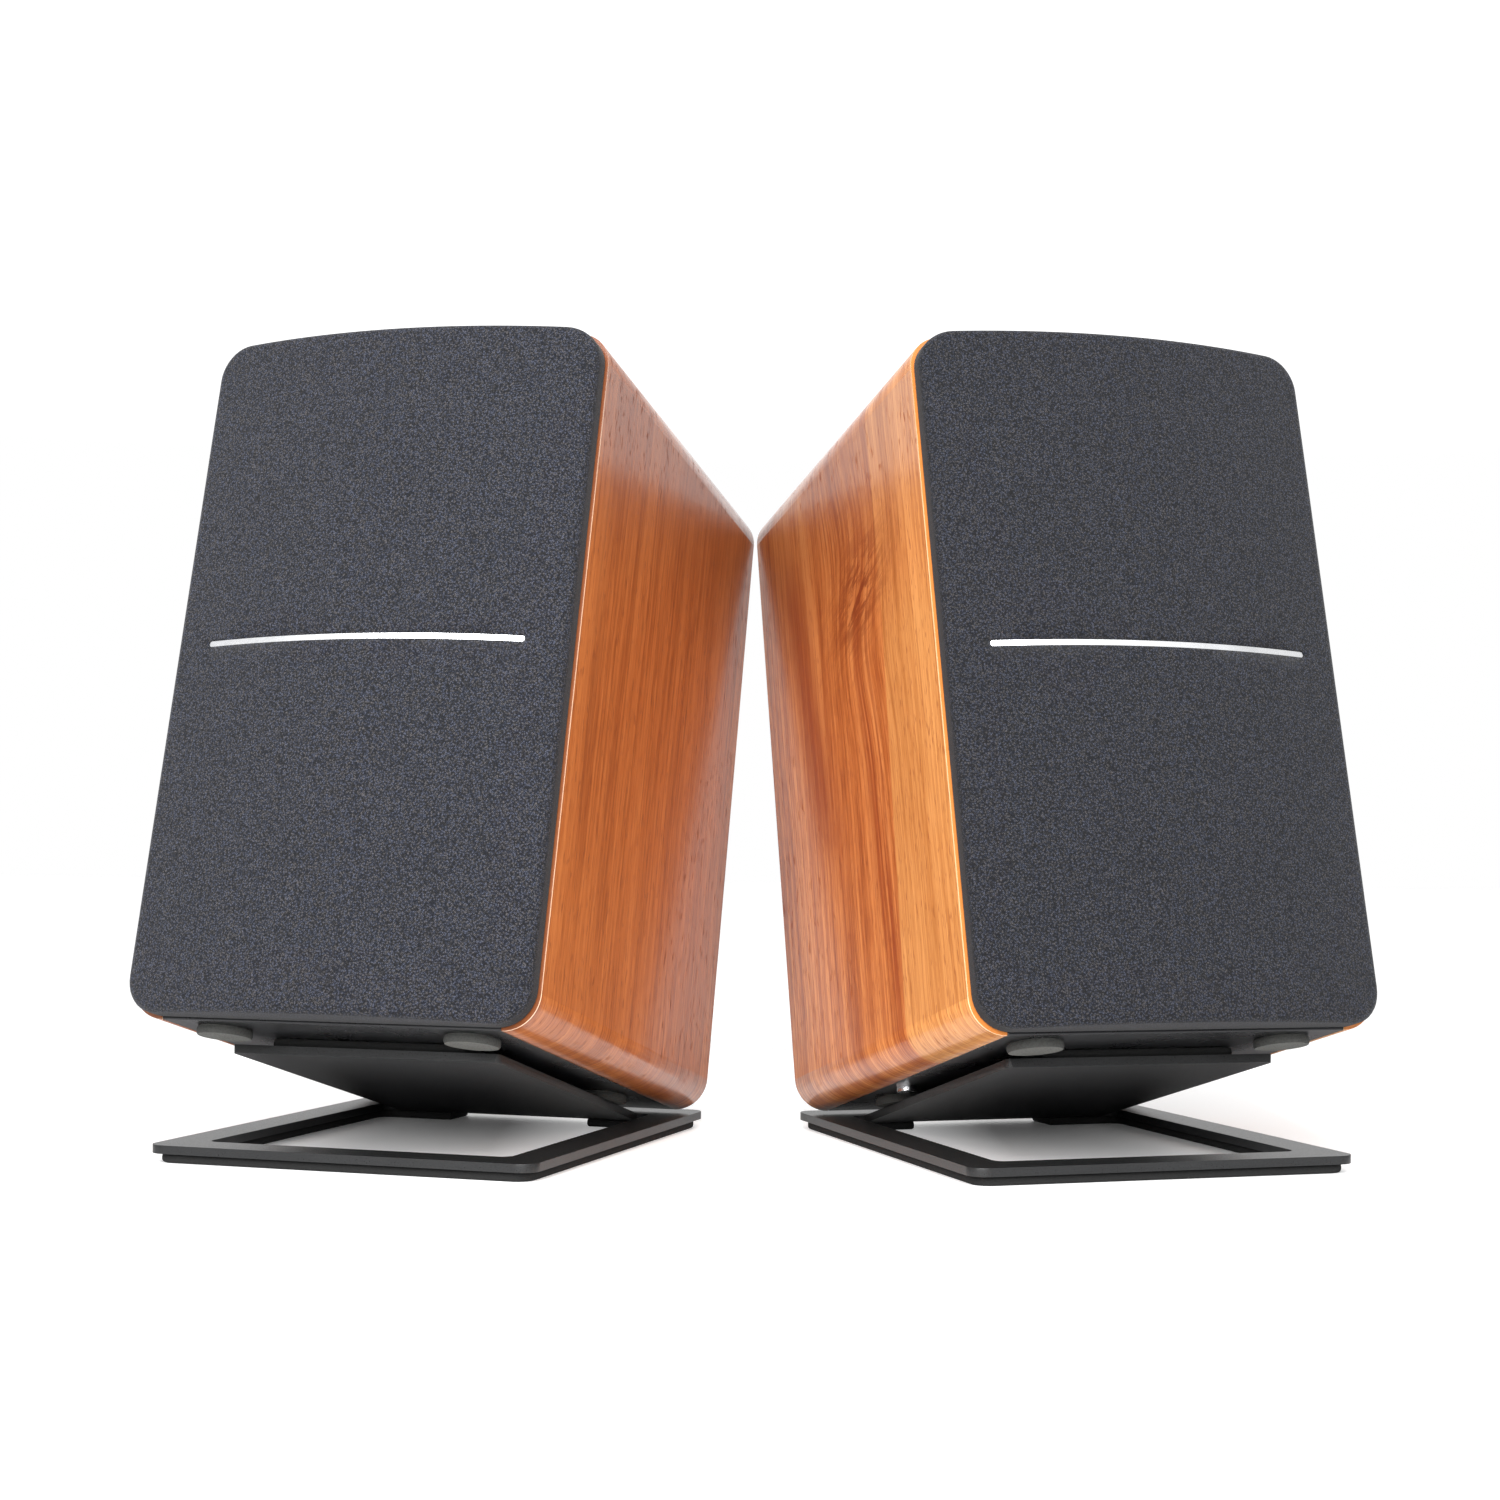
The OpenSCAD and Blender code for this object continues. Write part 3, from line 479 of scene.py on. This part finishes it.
def powder_coat(name, shade):
    """Fine-textured charcoal powder coat."""
    s = Shader(name)
    p = s.point()
    grit = s.noise(p, 2.6, 3, 0.6)
    cloud = s.noise(p, 0.04, 3)
    tone = s.math("ADD", s.math("MULTIPLY", grit, 0.8), s.math("MULTIPLY", cloud, 0.2))
    dark = (shade * 0.55, shade * 0.56, shade * 0.57)
    pale = (shade * 1.5, shade * 1.55, shade * 1.6)
    # faces that look up are duller, as handled metal is
    s.surface(Base_Color=s.ramp(tone, (0.3, dark), (0.7, pale)),
              Specular_IOR_Level=s.span(s.facing_up(), 0.4, 0.7, 0.38, 0.27),
              Roughness=s.span(grit, 0.3, 0.7, 0.26, 0.42), Normal=s.bump(grit, 0.06 * MM, 0.5))
    return s.material


def foam(name, shade, blue=1.0):
    """Closed-cell foam or sponge rubber; blue below 1 makes the grey warmer."""
    s = Shader(name)
    p = s.point()
    cell = s.cells(p, 1.5)
    cloud = s.noise(p, 0.12, 3)
    tone = s.math("MULTIPLY_ADD", cloud, 0.5, cell)
    dark = (shade * 0.6, shade * 0.6, shade * 0.6 * blue)
    pale = (shade * 1.25, shade * 1.27, shade * 1.27 * blue)
    colour = s.ramp(tone, (0.2, dark), (0.9, pale))
    # painted shade: the side walls are darker than the flat faces
    level = s.math("ABSOLUTE", s.facing_up())
    wall = s.span(level, 0.55, 0.85, 0.7, 0.0)
    s.surface(Base_Color=s.mix(wall, colour, (0.01, 0.01, 0.01)), Roughness=0.88,
              Specular_IOR_Level=0.3, Normal=s.bump(cell, 0.12 * MM, 0.5))
    return s.material


def treated_cloth(name, colour, pitch):
    """Resin-stiffened woven cloth, as on spiders and soft domes; pitch is the threads' spacing in mm."""
    s = Shader(name)
    xyz = s.parts(s.point())
    warp = s.math("SINE", s.math("MULTIPLY", xyz["X"], 2 * math.pi / pitch))
    weft = s.math("SINE", s.math("MULTIPLY", xyz["Z"], 2 * math.pi / pitch))
    weave = s.span(s.math("MULTIPLY", warp, weft), -1, 1)
    dark = tuple(c * 0.6 for c in colour)
    s.surface(Base_Color=s.mix(weave, dark, colour), Roughness=0.7, Sheen_Weight=0.2,
              Normal=s.bump(weave, 0.05 * MM, 0.6))
    return s.material


def black_film(name, speaker):
    """Satin black film on fibreboard, with a faint leather-like grain, duller on the cabinet's top."""
    s = Shader(name)
    p = s.speaker_point(speaker)
    grain = s.noise(p, 1.4, 3, 0.55)
    wear = s.noise(p, 0.035, 4)
    colour = s.mix(s.span(wear, 0.35, 0.75), (0.009, 0.009, 0.010), (0.015, 0.016, 0.018))
    top = s.span(s.facing_up(), 0.4, 0.7)
    roughness = s.math("MULTIPLY_ADD", top, 0.3, s.span(wear, 0.3, 0.7, 0.25, 0.31))
    s.surface(Base_Color=colour, Roughness=roughness,
              Specular_IOR_Level=s.span(top, 0, 1, 0.5, 0.12),
              Normal=s.bump(grain, 0.02 * MM, 0.1))
    return s.material


def plastic(name, colour, roughness, grain=0.25):
    """Moulded plastic with a fine spark-eroded texture."""
    s = Shader(name)
    p = s.point()
    speck = s.noise(p, 3, 2)
    cloud = s.noise(p, 0.06, 3)
    dark = tuple(c * 0.75 for c in colour)
    s.surface(Base_Color=s.mix(s.span(cloud, 0.3, 0.7), dark, colour),
              Roughness=s.span(speck, 0.3, 0.7, roughness - 0.06, roughness + 0.06),
              Normal=s.bump(speck, 0.03 * MM, grain))
    return s.material


def metal(name, colour, roughness, brush=(1, 1, 1)):
    """Bare or plated metal; brush stretches the marks."""
    s = Shader(name)
    p = s.point()
    marks = s.noise(s.scaled(p, brush), 2.4, 4, 0.6)
    cloud = s.noise(p, 0.07, 3)
    dark = tuple(c * 0.85 for c in colour)
    s.surface(Base_Color=s.mix(s.span(cloud, 0.3, 0.7), dark, colour), Metallic=1.0,
              Roughness=s.span(marks, 0.3, 0.7, roughness * 0.75, roughness * 1.3),
              Normal=s.bump(marks, 0.02 * MM, 0.15))
    return s.material


def circuit_board(name):
    """Green solder mask with faint copper tracks."""
    s = Shader(name)
    track = s.math("GREATER_THAN", s.noise(s.point(), 0.22, 0), 0.56)
    colour = s.mix(track, (0.006, 0.06, 0.02), (0.02, 0.13, 0.04))
    s.surface(Base_Color=colour, Roughness=0.35, Normal=s.bump(track, 0.04 * MM, 0.4))
    return s.material


def studio_paper(name):
    """White studio paper."""
    s = Shader(name)
    fibre = s.noise(s.point(), 0.9, 3)
    colour = s.mix(s.span(fibre, 0.3, 0.7), (0.92, 0.92, 0.92), (0.95, 0.95, 0.95))
    # painted shade in reflections: glossy surfaces see a darker floor behind the stands' front edges,
    # outside the gap between the stands, and a grey one far behind
    mirrored = s.add("ShaderNodeLightPath").outputs["Is Glossy Ray"]
    xyz = s.parts(s.point())
    far = s.span(xyz["Y"], *FAR_FLOOR)
    off_centre = s.math("ABSOLUTE", xyz["X"])
    aside = s.span(off_centre, *STAND_INSIDE)
    below = s.mix(s.span(xyz["Y"], *STAND_FRONT), (0.75, 0.75, 0.77), (0.14, 0.14, 0.15))
    colour = s.mix(s.math("MULTIPLY", mirrored, aside), colour, below)
    colour = s.mix(s.math("MULTIPLY", mirrored, far), colour, (0.46, 0.46, 0.46))
    # painted light: the camera sees the paper glow, lifting its shade most in front, between and beside
    # the stands
    front = s.span(xyz["Y"], *UNDER_FRONT, PAPER_PAINTED_LIGHT_FRONT, PAPER_PAINTED_LIGHT)
    middle = s.span(aside, 0, 1, PAPER_PAINTED_LIGHT_BETWEEN, 0.0)
    beside = s.span(off_centre, *STAND_OUTSIDE, 0.0, PAPER_PAINTED_LIGHT_BETWEEN)
    near = s.span(xyz["Y"], *FLOOR_END, 1, 0)
    seen = s.math("MAXIMUM", front, s.math("MULTIPLY", s.math("ADD", middle, beside), near))
    painted_light_strength = s.math("MULTIPLY", seen, s.add("ShaderNodeLightPath").outputs["Is Camera Ray"])
    s.surface(Base_Color=colour, Roughness=0.5, Normal=s.bump(fibre, 0.02 * MM, 0.1),
              Emission_Color=(1.0, 1.0, 1.0), Emission_Strength=painted_light_strength)
    return s.material


def coat_frame(frame, speakers):
    """Gives every CAD node its material."""
    made = {}

    def shared(key, maker, *arguments):
        if key not in made:
            made[key] = maker(key, *arguments)
        return made[key]

    steel = (0.62, 0.62, 0.63)
    black_screw = (0.12, 0.12, 0.125)
    red = (0.5, 0.012, 0.01)
    by_kind = {
        "stand_plates": ("powder_coat", powder_coat, 0.014),
        "woofer_basket": ("basket_paint", powder_coat, 0.02),
        "amp_plate": ("amp_paint", powder_coat, 0.02),
        "port_tube": ("port_plastic", plastic, (0.02, 0.02, 0.02), 0.45),
        "grille_frame": ("frame_plastic", plastic, (0.02, 0.02, 0.02), 0.5),
        "woofer_cone": ("cone_pulp", plastic, (0.045, 0.045, 0.048), 0.7, 0.8),
        "tweeter_faceplate": ("faceplate", plastic, (0.018, 0.018, 0.02), 0.4),
        "terminal_block": ("terminal_plastic", plastic, (0.015, 0.015, 0.016), 0.3),
        "terminal_lever_red": ("red_plastic", plastic, red, 0.3),
        "power_rocker": ("red_plastic", plastic, red, 0.3),
        "grille_strip": ("satin_silver", metal, (0.92, 0.93, 0.95), 0.3),
        "woofer_motor": ("plated_steel", metal, steel, 0.35),
        "tweeter_motor": ("plated_steel", metal, steel, 0.35),
        "driver_screws": ("black_zinc", metal, black_screw, 0.4),
        "amp_plate_screws": ("black_zinc", metal, black_screw, 0.4),
        "transformer": ("laminations", metal, (0.3, 0.28, 0.26), 0.5, (1, 1, 12)),
        "transformer_screws": ("bright_zinc", metal, (0.8, 0.81, 0.83), 0.22),
        "line_jacks": ("gilt", metal, (0.83, 0.62, 0.27), 0.25),
        "crossover_board": ("circuit_board", circuit_board),
        "amp_board": ("circuit_board", circuit_board),
        "control_board": ("circuit_board", circuit_board),
        "woofer_spider": ("spider_cloth", treated_cloth, *SPIDER_CLOTH),
    }
    filmed = ("cabinet_shell", "front_baffle", "rear_board")
    for node, piece in frame["nodes"].items():
        side = "left" if node.startswith("left_") else "right"
        kind = node.removeprefix(side + "_")
        if kind == "side_panels":
            material = shared("veneer_" + side, wood, speakers[side], VENEER[side])
        elif kind in filmed:
            material = shared("black_film_" + side, black_film, speakers[side])
        elif kind in by_kind:
            material = shared(*by_kind[kind])
        else:
            material = shared("black_plastic", plastic, (0.014, 0.014, 0.015), 0.34)
        piece.data.materials.clear()
        piece.data.materials.append(material)


# ---------- pieces built here ----------

def new_piece(name, shape, matrix, material):
    """A mesh piece with its place in its vertices; shape is a bmesh in the frame that matrix gives."""
    mesh = bpy.data.meshes.new(name)
    bmesh.ops.recalc_face_normals(shape, faces=shape.faces)
    shape.to_mesh(mesh)
    shape.free()
    mesh.transform(matrix)
    mesh.shade_smooth()
    mesh.set_sharp_from_angle(angle=math.radians(35))
    mesh.materials.append(material)
    piece = bpy.data.objects.new(name, mesh)
    bpy.context.collection.objects.link(piece)
    return piece


def join_rings(shape, rings, closed):
    """Faces between rings of vertices; closed also joins the last ring to the first."""
    pairs = list(zip(rings, rings[1:]))
    if closed:
        pairs.append((rings[-1], rings[0]))
    for near, far in pairs:
        for i in range(len(near)):
            j = (i + 1) % len(near)
            shape.faces.new((near[i], near[j], far[j], far[i]))


def rounded_outline(half_w, half_h, radius, corner_steps=10, side_steps=24):
    """Points around a rounded rectangle; the same count whatever the radius."""
    points = []
    corners = [(1, 1), (-1, 1), (-1, -1), (1, -1)]
    for i, (sx, sz) in enumerate(corners):
        centre = Vector((sx * (half_w - radius), sz * (half_h - radius)))
        for step in range(corner_steps + 1):
            angle = math.radians(90 * (i + step / corner_steps))
            points.append(centre + radius * Vector((math.cos(angle), math.sin(angle))))
        nx, nz = corners[(i + 1) % 4]
        turn = math.radians(90 * (i + 1))
        target = Vector((nx * (half_w - radius), nz * (half_h - radius)))
        target += radius * Vector((math.cos(turn), math.sin(turn)))
        begin = points[-1]
        for step in range(1, side_steps):
            points.append(begin.lerp(target, step / side_steps))
    return points


class Grille:
    """Outline and curved face of one grille, read from its CAD solid."""

    def __init__(self, speaker):
        cloud = speaker.cloud(speaker.side + "_grille_cloth")
        low, high = speaker.box(speaker.side + "_grille_cloth")
        self.half_w = (high.x - low.x) / 2
        self.half_h = (high.z - low.z) / 2
        self.middle_z = (high.z + low.z) / 2
        self.back_y = high.y
        self.front_y = low.y
        top = [abs(point.x) for point in cloud if point.z > high.z - 0.01 * MM]
        self.corner_r = self.half_w - max(top)
        edge_y = min(point.y for point in cloud if point.x > high.x - 0.01 * MM)
        bulge = edge_y - self.front_y
        self.curve_r = (self.half_w ** 2 + bulge ** 2) / (2 * bulge)

    def face_y(self, x, sink):
        """Depth of the curved face at x, moved in by sink."""
        centre = self.front_y + self.curve_r
        return centre - math.sqrt((self.curve_r - sink) ** 2 - x * x)

    def ring(self, shape, inset, sink, flat=None):
        """One ring of the cloth: inset from the outline, sunk below the face or at depth flat."""
        half_w = max(self.half_w - inset, 0.0)
        half_h = max(self.half_h - inset, 0.0)
        made = []
        for point in rounded_outline(half_w, half_h, max(self.corner_r - inset, 0.0)):
            y = self.face_y(point.x, sink) if flat is None else flat
            made.append(shape.verts.new((point.x, y, point.y + self.middle_z)))
        return made


def grille_fabric(speaker, material):
    """Cloth stretched over the frame: curved face, soft edge, sides and a slot for the strip."""
    grille = Grille(speaker)
    shape = bmesh.new()
    insets = [grille.half_w * (1 - (i / 12) ** 0.8) for i in range(12)]
    insets = [inset for inset in insets if inset > CLOTH_FOLD]
    turns = [math.radians(15 * step) for step in range(7)]
    rings = [grille.ring(shape, inset, 0) for inset in insets]
    for turn in turns:
        inset = CLOTH_FOLD * (1 - math.sin(turn))
        rings.append(grille.ring(shape, inset, CLOTH_FOLD * (1 - math.cos(turn))))
    rings.append(grille.ring(shape, 0, 0, grille.back_y))
    rings.append(grille.ring(shape, CLOTH_T, 0, grille.back_y))
    inner = CLOTH_FOLD - CLOTH_T
    for turn in reversed(turns):
        inset = CLOTH_T + inner * (1 - math.sin(turn))
        rings.append(grille.ring(shape, inset, CLOTH_T + inner * (1 - math.cos(turn))))
    rings += [grille.ring(shape, inset, CLOTH_T) for inset in reversed(insets)]
    join_rings(shape, rings, closed=False)
    bmesh.ops.remove_doubles(shape, verts=shape.verts, dist=0.01 * MM)
    piece = new_piece(speaker.side + "_grille_fabric", shape, speaker.matrix, material)
    cut_slot(piece, speaker)
    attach(piece, speaker.side + "_grille")
    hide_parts(speaker.side + "_grille_cloth")


def cut_slot(piece, speaker):
    """Cuts the slot of the silver strip through the cloth."""
    low, high = speaker.box(speaker.side + "_grille_strip")
    half_h = (high.z - low.z) / 2 + SLOT_GAP
    middle_z = (high.z + low.z) / 2
    shape = bmesh.new()
    outline = rounded_outline((high.x - low.x) / 2 + SLOT_GAP, half_h, half_h, 8, 2)
    rings = []
    for y in (low.y - 10 * MM, high.y + 10 * MM):
        rings.append([shape.verts.new((point.x, y, point.y + middle_z)) for point in outline])
    join_rings(shape, rings, closed=False)
    for ring in rings:
        shape.faces.new(ring)
    bmesh.ops.remove_doubles(shape, verts=shape.verts, dist=0.001 * MM)
    tool = new_piece("slot_tool", shape, speaker.matrix, piece.data.materials[0])
    cut = piece.modifiers.new("slot", "BOOLEAN")
    cut.object = tool
    cut.operation = "DIFFERENCE"
    cut.solver = "EXACT"
    graph = bpy.context.evaluated_depsgraph_get()
    piece.data = bpy.data.meshes.new_from_object(piece.evaluated_get(graph))
    piece.modifiers.clear()
    bpy.data.objects.remove(tool)


def lathe(name, outline, centre, matrix, material, steps=96):
    """Turns a closed outline of (radius, depth) points around the Y axis through centre."""
    shape = bmesh.new()
    rings = []
    for step in range(steps):
        angle = 2 * math.pi * step / steps
        rings.append([shape.verts.new((centre.x + r * math.cos(angle), depth,
                                       centre.z + r * math.sin(angle))) for r, depth in outline])
    join_rings(shape, rings, closed=True)
    bmesh.ops.remove_doubles(shape, verts=shape.verts, dist=0.001 * MM)
    return new_piece(name, shape, matrix, material)


def arc(centre_r, centre_y, radius, start, end, steps=12):
    """(radius, depth) points of an arc; 0 degrees points outward and 90 towards the front."""
    angles = [math.radians(start + (end - start) * i / steps) for i in range(steps + 1)]
    return [(centre_r + radius * math.cos(a), centre_y - radius * math.sin(a)) for a in angles]


def rubber_surround(speaker, material):
    """Half-roll rubber surround, with a flat flange for the basket and a lip for the cone."""
    side = speaker.side
    low, high = speaker.box(side + "_woofer_surround")
    centre = (low + high) / 2
    outer_r = (high.x - low.x) / 2
    inner_back = high.y
    inner_front = inner_back - RUBBER_T
    outer_back = inner_front - GLUE_GAP
    outer_front = outer_back - RUBBER_T
    roll_y = low.y + ROLL_R + RUBBER_T / 2
    roll_r = outer_r - RUBBER_FLANGE - ROLL_R - RUBBER_T / 2
    inner_r = roll_r - ROLL_R - RUBBER_LIP
    outline = [(outer_r, outer_front), (outer_r, outer_back)]
    outline += arc(roll_r, roll_y, ROLL_R - RUBBER_T / 2, 0, 180)
    outline += [(roll_r - ROLL_R + RUBBER_T / 2, inner_back), (inner_r, inner_back)]
    outline += [(inner_r, inner_front), (roll_r - ROLL_R - RUBBER_T / 2, inner_front)]
    outline += arc(roll_r, roll_y, ROLL_R + RUBBER_T / 2, 180, 0)
    piece = lathe(side + "_surround_rubber", outline, centre, speaker.matrix, material)
    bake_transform(piece)
    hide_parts(side + "_woofer_surround")


def coil_spider(speaker, material):
    """Cupped, rippled centring ring with a flat flange for the basket."""
    side = speaker.side
    low, high = speaker.box(side + "_woofer_spider")
    centre = (low + high) / 2
    outer_r = (high.x - low.x) / 2
    flange_r = outer_r - SPIDER_FLANGE
    flange_y = high.y - SPIDER_T
    steps = 60
    front = []
    for i in range(steps + 1):
        share = i / steps
        radius = SPIDER_INNER_R + (flange_r - SPIDER_INNER_R) * share
        ripple = SPIDER_RIPPLE * math.sin(2 * math.pi * SPIDER_RIPPLES * share)
        front.append((radius, low.y + (flange_y - low.y) * share + ripple))
    back = [(radius, y + SPIDER_T) for radius, y in reversed(front)]
    outline = front + [(outer_r, flange_y), (outer_r, high.y)] + back
    piece = lathe(side + "_spider_weave", outline, centre, speaker.matrix, material)
    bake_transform(piece)
    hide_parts(side + "_woofer_spider")


def silk_dome(speaker, material):
    """Soft dome with a flat edge round its foot and the voice coil's former behind it."""
    side = speaker.side
    low, high = speaker.box(side + "_tweeter_dome")
    centre = (low + high) / 2
    outer_r = (high.x - low.x) / 2
    coil_r = outer_r - COIL_INSET
    dome_r = outer_r - SILK_EDGE
    flat_y = high.y - COIL_LENGTH
    rise = flat_y - low.y
    ball_r = (dome_r ** 2 + rise ** 2) / (2 * rise)
    reach = math.degrees(math.asin(dome_r / ball_r))
    back_y = flat_y + SILK_T
    outline = [(outer_r, flat_y), (dome_r + 0.2 * MM, flat_y)]
    outline += arc(0, low.y + ball_r, ball_r, 90 - reach, 90)
    outline += arc(0, low.y + ball_r, ball_r - SILK_T, 90, 90 - reach + 2)
    outline += [(coil_r, back_y), (coil_r, high.y), (coil_r + SILK_T, high.y)]
    outline += [(coil_r + SILK_T, back_y), (outer_r, back_y)]
    piece = lathe(side + "_dome_silk", outline, centre, speaker.matrix, material, 64)
    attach(piece, side + "_tweeter")
    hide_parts(side + "_tweeter_dome")


def squeeze(shape, sign, up, soft):
    """Bulges the side walls of the pieces on one side of the middle and rounds in their edges.

    sign is -1 left of the middle and 1 right of it; up is the pieces' thickness direction.
    """
    verts = [vertex for vertex in shape.verts if vertex.co.x * sign > 0]
    levels = [vertex.co.dot(up) for vertex in verts]
    low, thick = min(levels), max(levels) - min(levels)
    inside = set(verts)
    walls = []
    for edge in shape.edges:
        line = edge.verts[1].co - edge.verts[0].co
        if edge.verts[0] in inside and abs(line.dot(up)) > 0.98 * thick:
            walls.append(edge)
    bmesh.ops.subdivide_edges(shape, edges=walls, cuts=7, use_grid_fill=True)
    shape.normal_update()
    moves = []
    for vertex in shape.verts:
        out = vertex.normal - up * vertex.normal.dot(up)
        if vertex.co.x * sign > 0 and out.length > 0.1:
            level = 2 * (vertex.co.dot(up) - low) / thick - 1
            reach = FOAM_BULGE * (1 - level ** 2) - soft * level ** 8
            moves.append((vertex, out.normalized() * reach))
    for vertex, move in moves:
        vertex.co += move


def squeezed_foam(frame, name, node, material, ups, soft):
    """Foam under load, made from its CAD outline; ups holds up for each sign, as in squeeze."""
    solid = frame["nodes"][node]
    shape = bmesh.new()
    shape.from_mesh(solid.data)
    bmesh.ops.remove_doubles(shape, verts=shape.verts, dist=0.002 * MM)
    bmesh.ops.dissolve_limit(shape, angle_limit=math.radians(1), verts=shape.verts, edges=shape.edges)
    for sign, up in ups.items():
        squeeze(shape, sign, up, soft)
    piece = new_piece(name, shape, Matrix.Identity(4), material)
    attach(piece, solid["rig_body"])
    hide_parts(node)


def soft_pieces(frame, speakers):
    """Everything that gives: cloth, rubber, silk and foam."""
    rubber = foam("surround_rubber", 0.03)
    silk = treated_cloth("dome_silk", (0.05, 0.05, 0.055), 0.35)
    spider = treated_cloth("spider_weave", *SPIDER_CLOTH)
    grey_foam = foam("grey_foam", 0.12, 0.93)
    black_foam = foam("black_foam", 0.022)
    for side, speaker in speakers.items():
        grille_fabric(speaker, grille_cloth("grille_cloth_" + side, speaker, CLOTH_LIGHTNESS_AND_SHADE[side]))
        rubber_surround(speaker, rubber)
        coil_spider(speaker, spider)
        silk_dome(speaker, silk)
        own_side = {-1 if side == "left" else 1: speaker.up}
        squeezed_foam(frame, side + "_feet_foam", side + "_feet", grey_foam, own_side,
                      FOOT_SOFT)
    level = {-1: Vector((0, 0, 1)), 1: Vector((0, 0, 1))}
    tilted = {-1: speakers["left"].up, 1: speakers["right"].up}
    for name, node, ups in (("base_foam", "stand_base_pads", level),
                            ("flap_foam", "stand_flap_pads", tilted)):
        squeezed_foam(frame, name, node, black_foam, ups, PAD_SOFT)


def soften_edges(frame):
    """Small rounded edges on the CAD nodes that show."""
    for node, piece in frame["nodes"].items():
        kind = node.removeprefix("left_").removeprefix("right_")
        if kind not in EDGE_WIDTHS:
            continue
        weld = piece.modifiers.new("weld", "WELD")
        weld.merge_threshold = 0.005 * MM
        bevel = piece.modifiers.new("bevel", "BEVEL")
        bevel.width = EDGE_WIDTHS[kind]
        bevel.segments = 3
        bevel.limit_method = "ANGLE"
        bevel.angle_limit = math.radians(40)
        bevel.harden_normals = True


# ---------- studio ----------

def area_light(name, place, target, size, power):
    """A rectangular lamp turned towards target."""
    data = bpy.data.lights.new(name, "AREA")
    data.shape = "RECTANGLE"
    data.size, data.size_y = size
    data.energy = power
    lamp = bpy.data.objects.new(name, data)
    lamp.location = place
    aim = Vector(target) - Vector(place)
    lamp.rotation_euler = aim.to_track_quat("-Z", "Y").to_euler()
    bpy.context.collection.objects.link(lamp)


def white_room():
    """A white surround: bright overhead, in front and behind, and dimmer near the horizon."""
    world = bpy.data.worlds.new("white_room")
    bpy.context.scene.world = world
    world.use_nodes = True
    w = NodeTree(world.node_tree)
    direction = w.parts(w.add("ShaderNodeTexCoord").outputs["Generated"])
    ray = w.add("ShaderNodeLightPath").outputs
    rear_high = w.math("MULTIPLY_ADD", ray["Is Diffuse Ray"], REAR_SOFT - REAR_HIGH, REAR_HIGH)
    rear = w.span(direction["Z"], 0.08, 0.25, REAR_LOW, rear_high, soft=True)
    front = w.span(direction["Z"], 0.02, 0.32, FRONT_LOW, FRONT_HIGH, soft=True)
    strength = w.span(direction["Y"], -0.3, 0.5, front, rear, soft=True)
    sideways = w.math("ABSOLUTE", direction["X"])
    dim = w.span(sideways, 0.45, 0.95, 1.0, SIDE_SHARE, soft=True)
    strength = w.math("MULTIPLY", strength, dim)
    # the camera itself sees plain white
    strength = w.math("MAXIMUM", strength, ray["Is Camera Ray"])
    w.put(w.nodes["Background"].inputs["Strength"], strength)
    w.put(w.nodes["Background"].inputs["Color"], (1.0, 1.0, 1.0))


def studio():
    """Paper floor, white surround and one softbox above the camera, in plain display colours."""
    white_room()
    shape = bmesh.new()
    bmesh.ops.create_grid(shape, x_segments=4, y_segments=4, size=PAPER_HALF_WIDTH)
    paper = new_piece("floor", shape, Matrix.Identity(4), studio_paper("studio_paper"))
    area_light("softbox", SOFTBOX_PLACE, SOFTBOX_TARGET, SOFTBOX_SIZE, SOFTBOX_POWER)
    scene = bpy.context.scene
    scene.view_settings.view_transform = "Standard"
    scene.view_settings.look = "None"


def camera():
    """The camera, a little above the desk and looking slightly up."""
    data = bpy.data.cameras.new("camera")
    data.sensor_width = CAMERA_SENSOR
    data.lens = CAMERA_LENS
    data.clip_start = 0.01
    made = bpy.data.objects.new("camera", data)
    aim = Matrix.Rotation(CAMERA_YAW, 4, "Z")
    aim = aim @ Euler((math.pi / 2 + CAMERA_PITCH, 0, 0)).to_matrix().to_4x4()
    roll = Matrix.Rotation(CAMERA_ROLL, 4, "Z")
    made.matrix_world = Matrix.Translation(CAMERA_PLACE) @ aim @ roll
    bpy.context.collection.objects.link(made)
    bpy.context.scene.camera = made


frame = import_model()
speakers = {side: Speaker(frame, side) for side in ("left", "right")}
coat_frame(frame, speakers)
soften_edges(frame)
soft_pieces(frame, speakers)
studio()
camera()
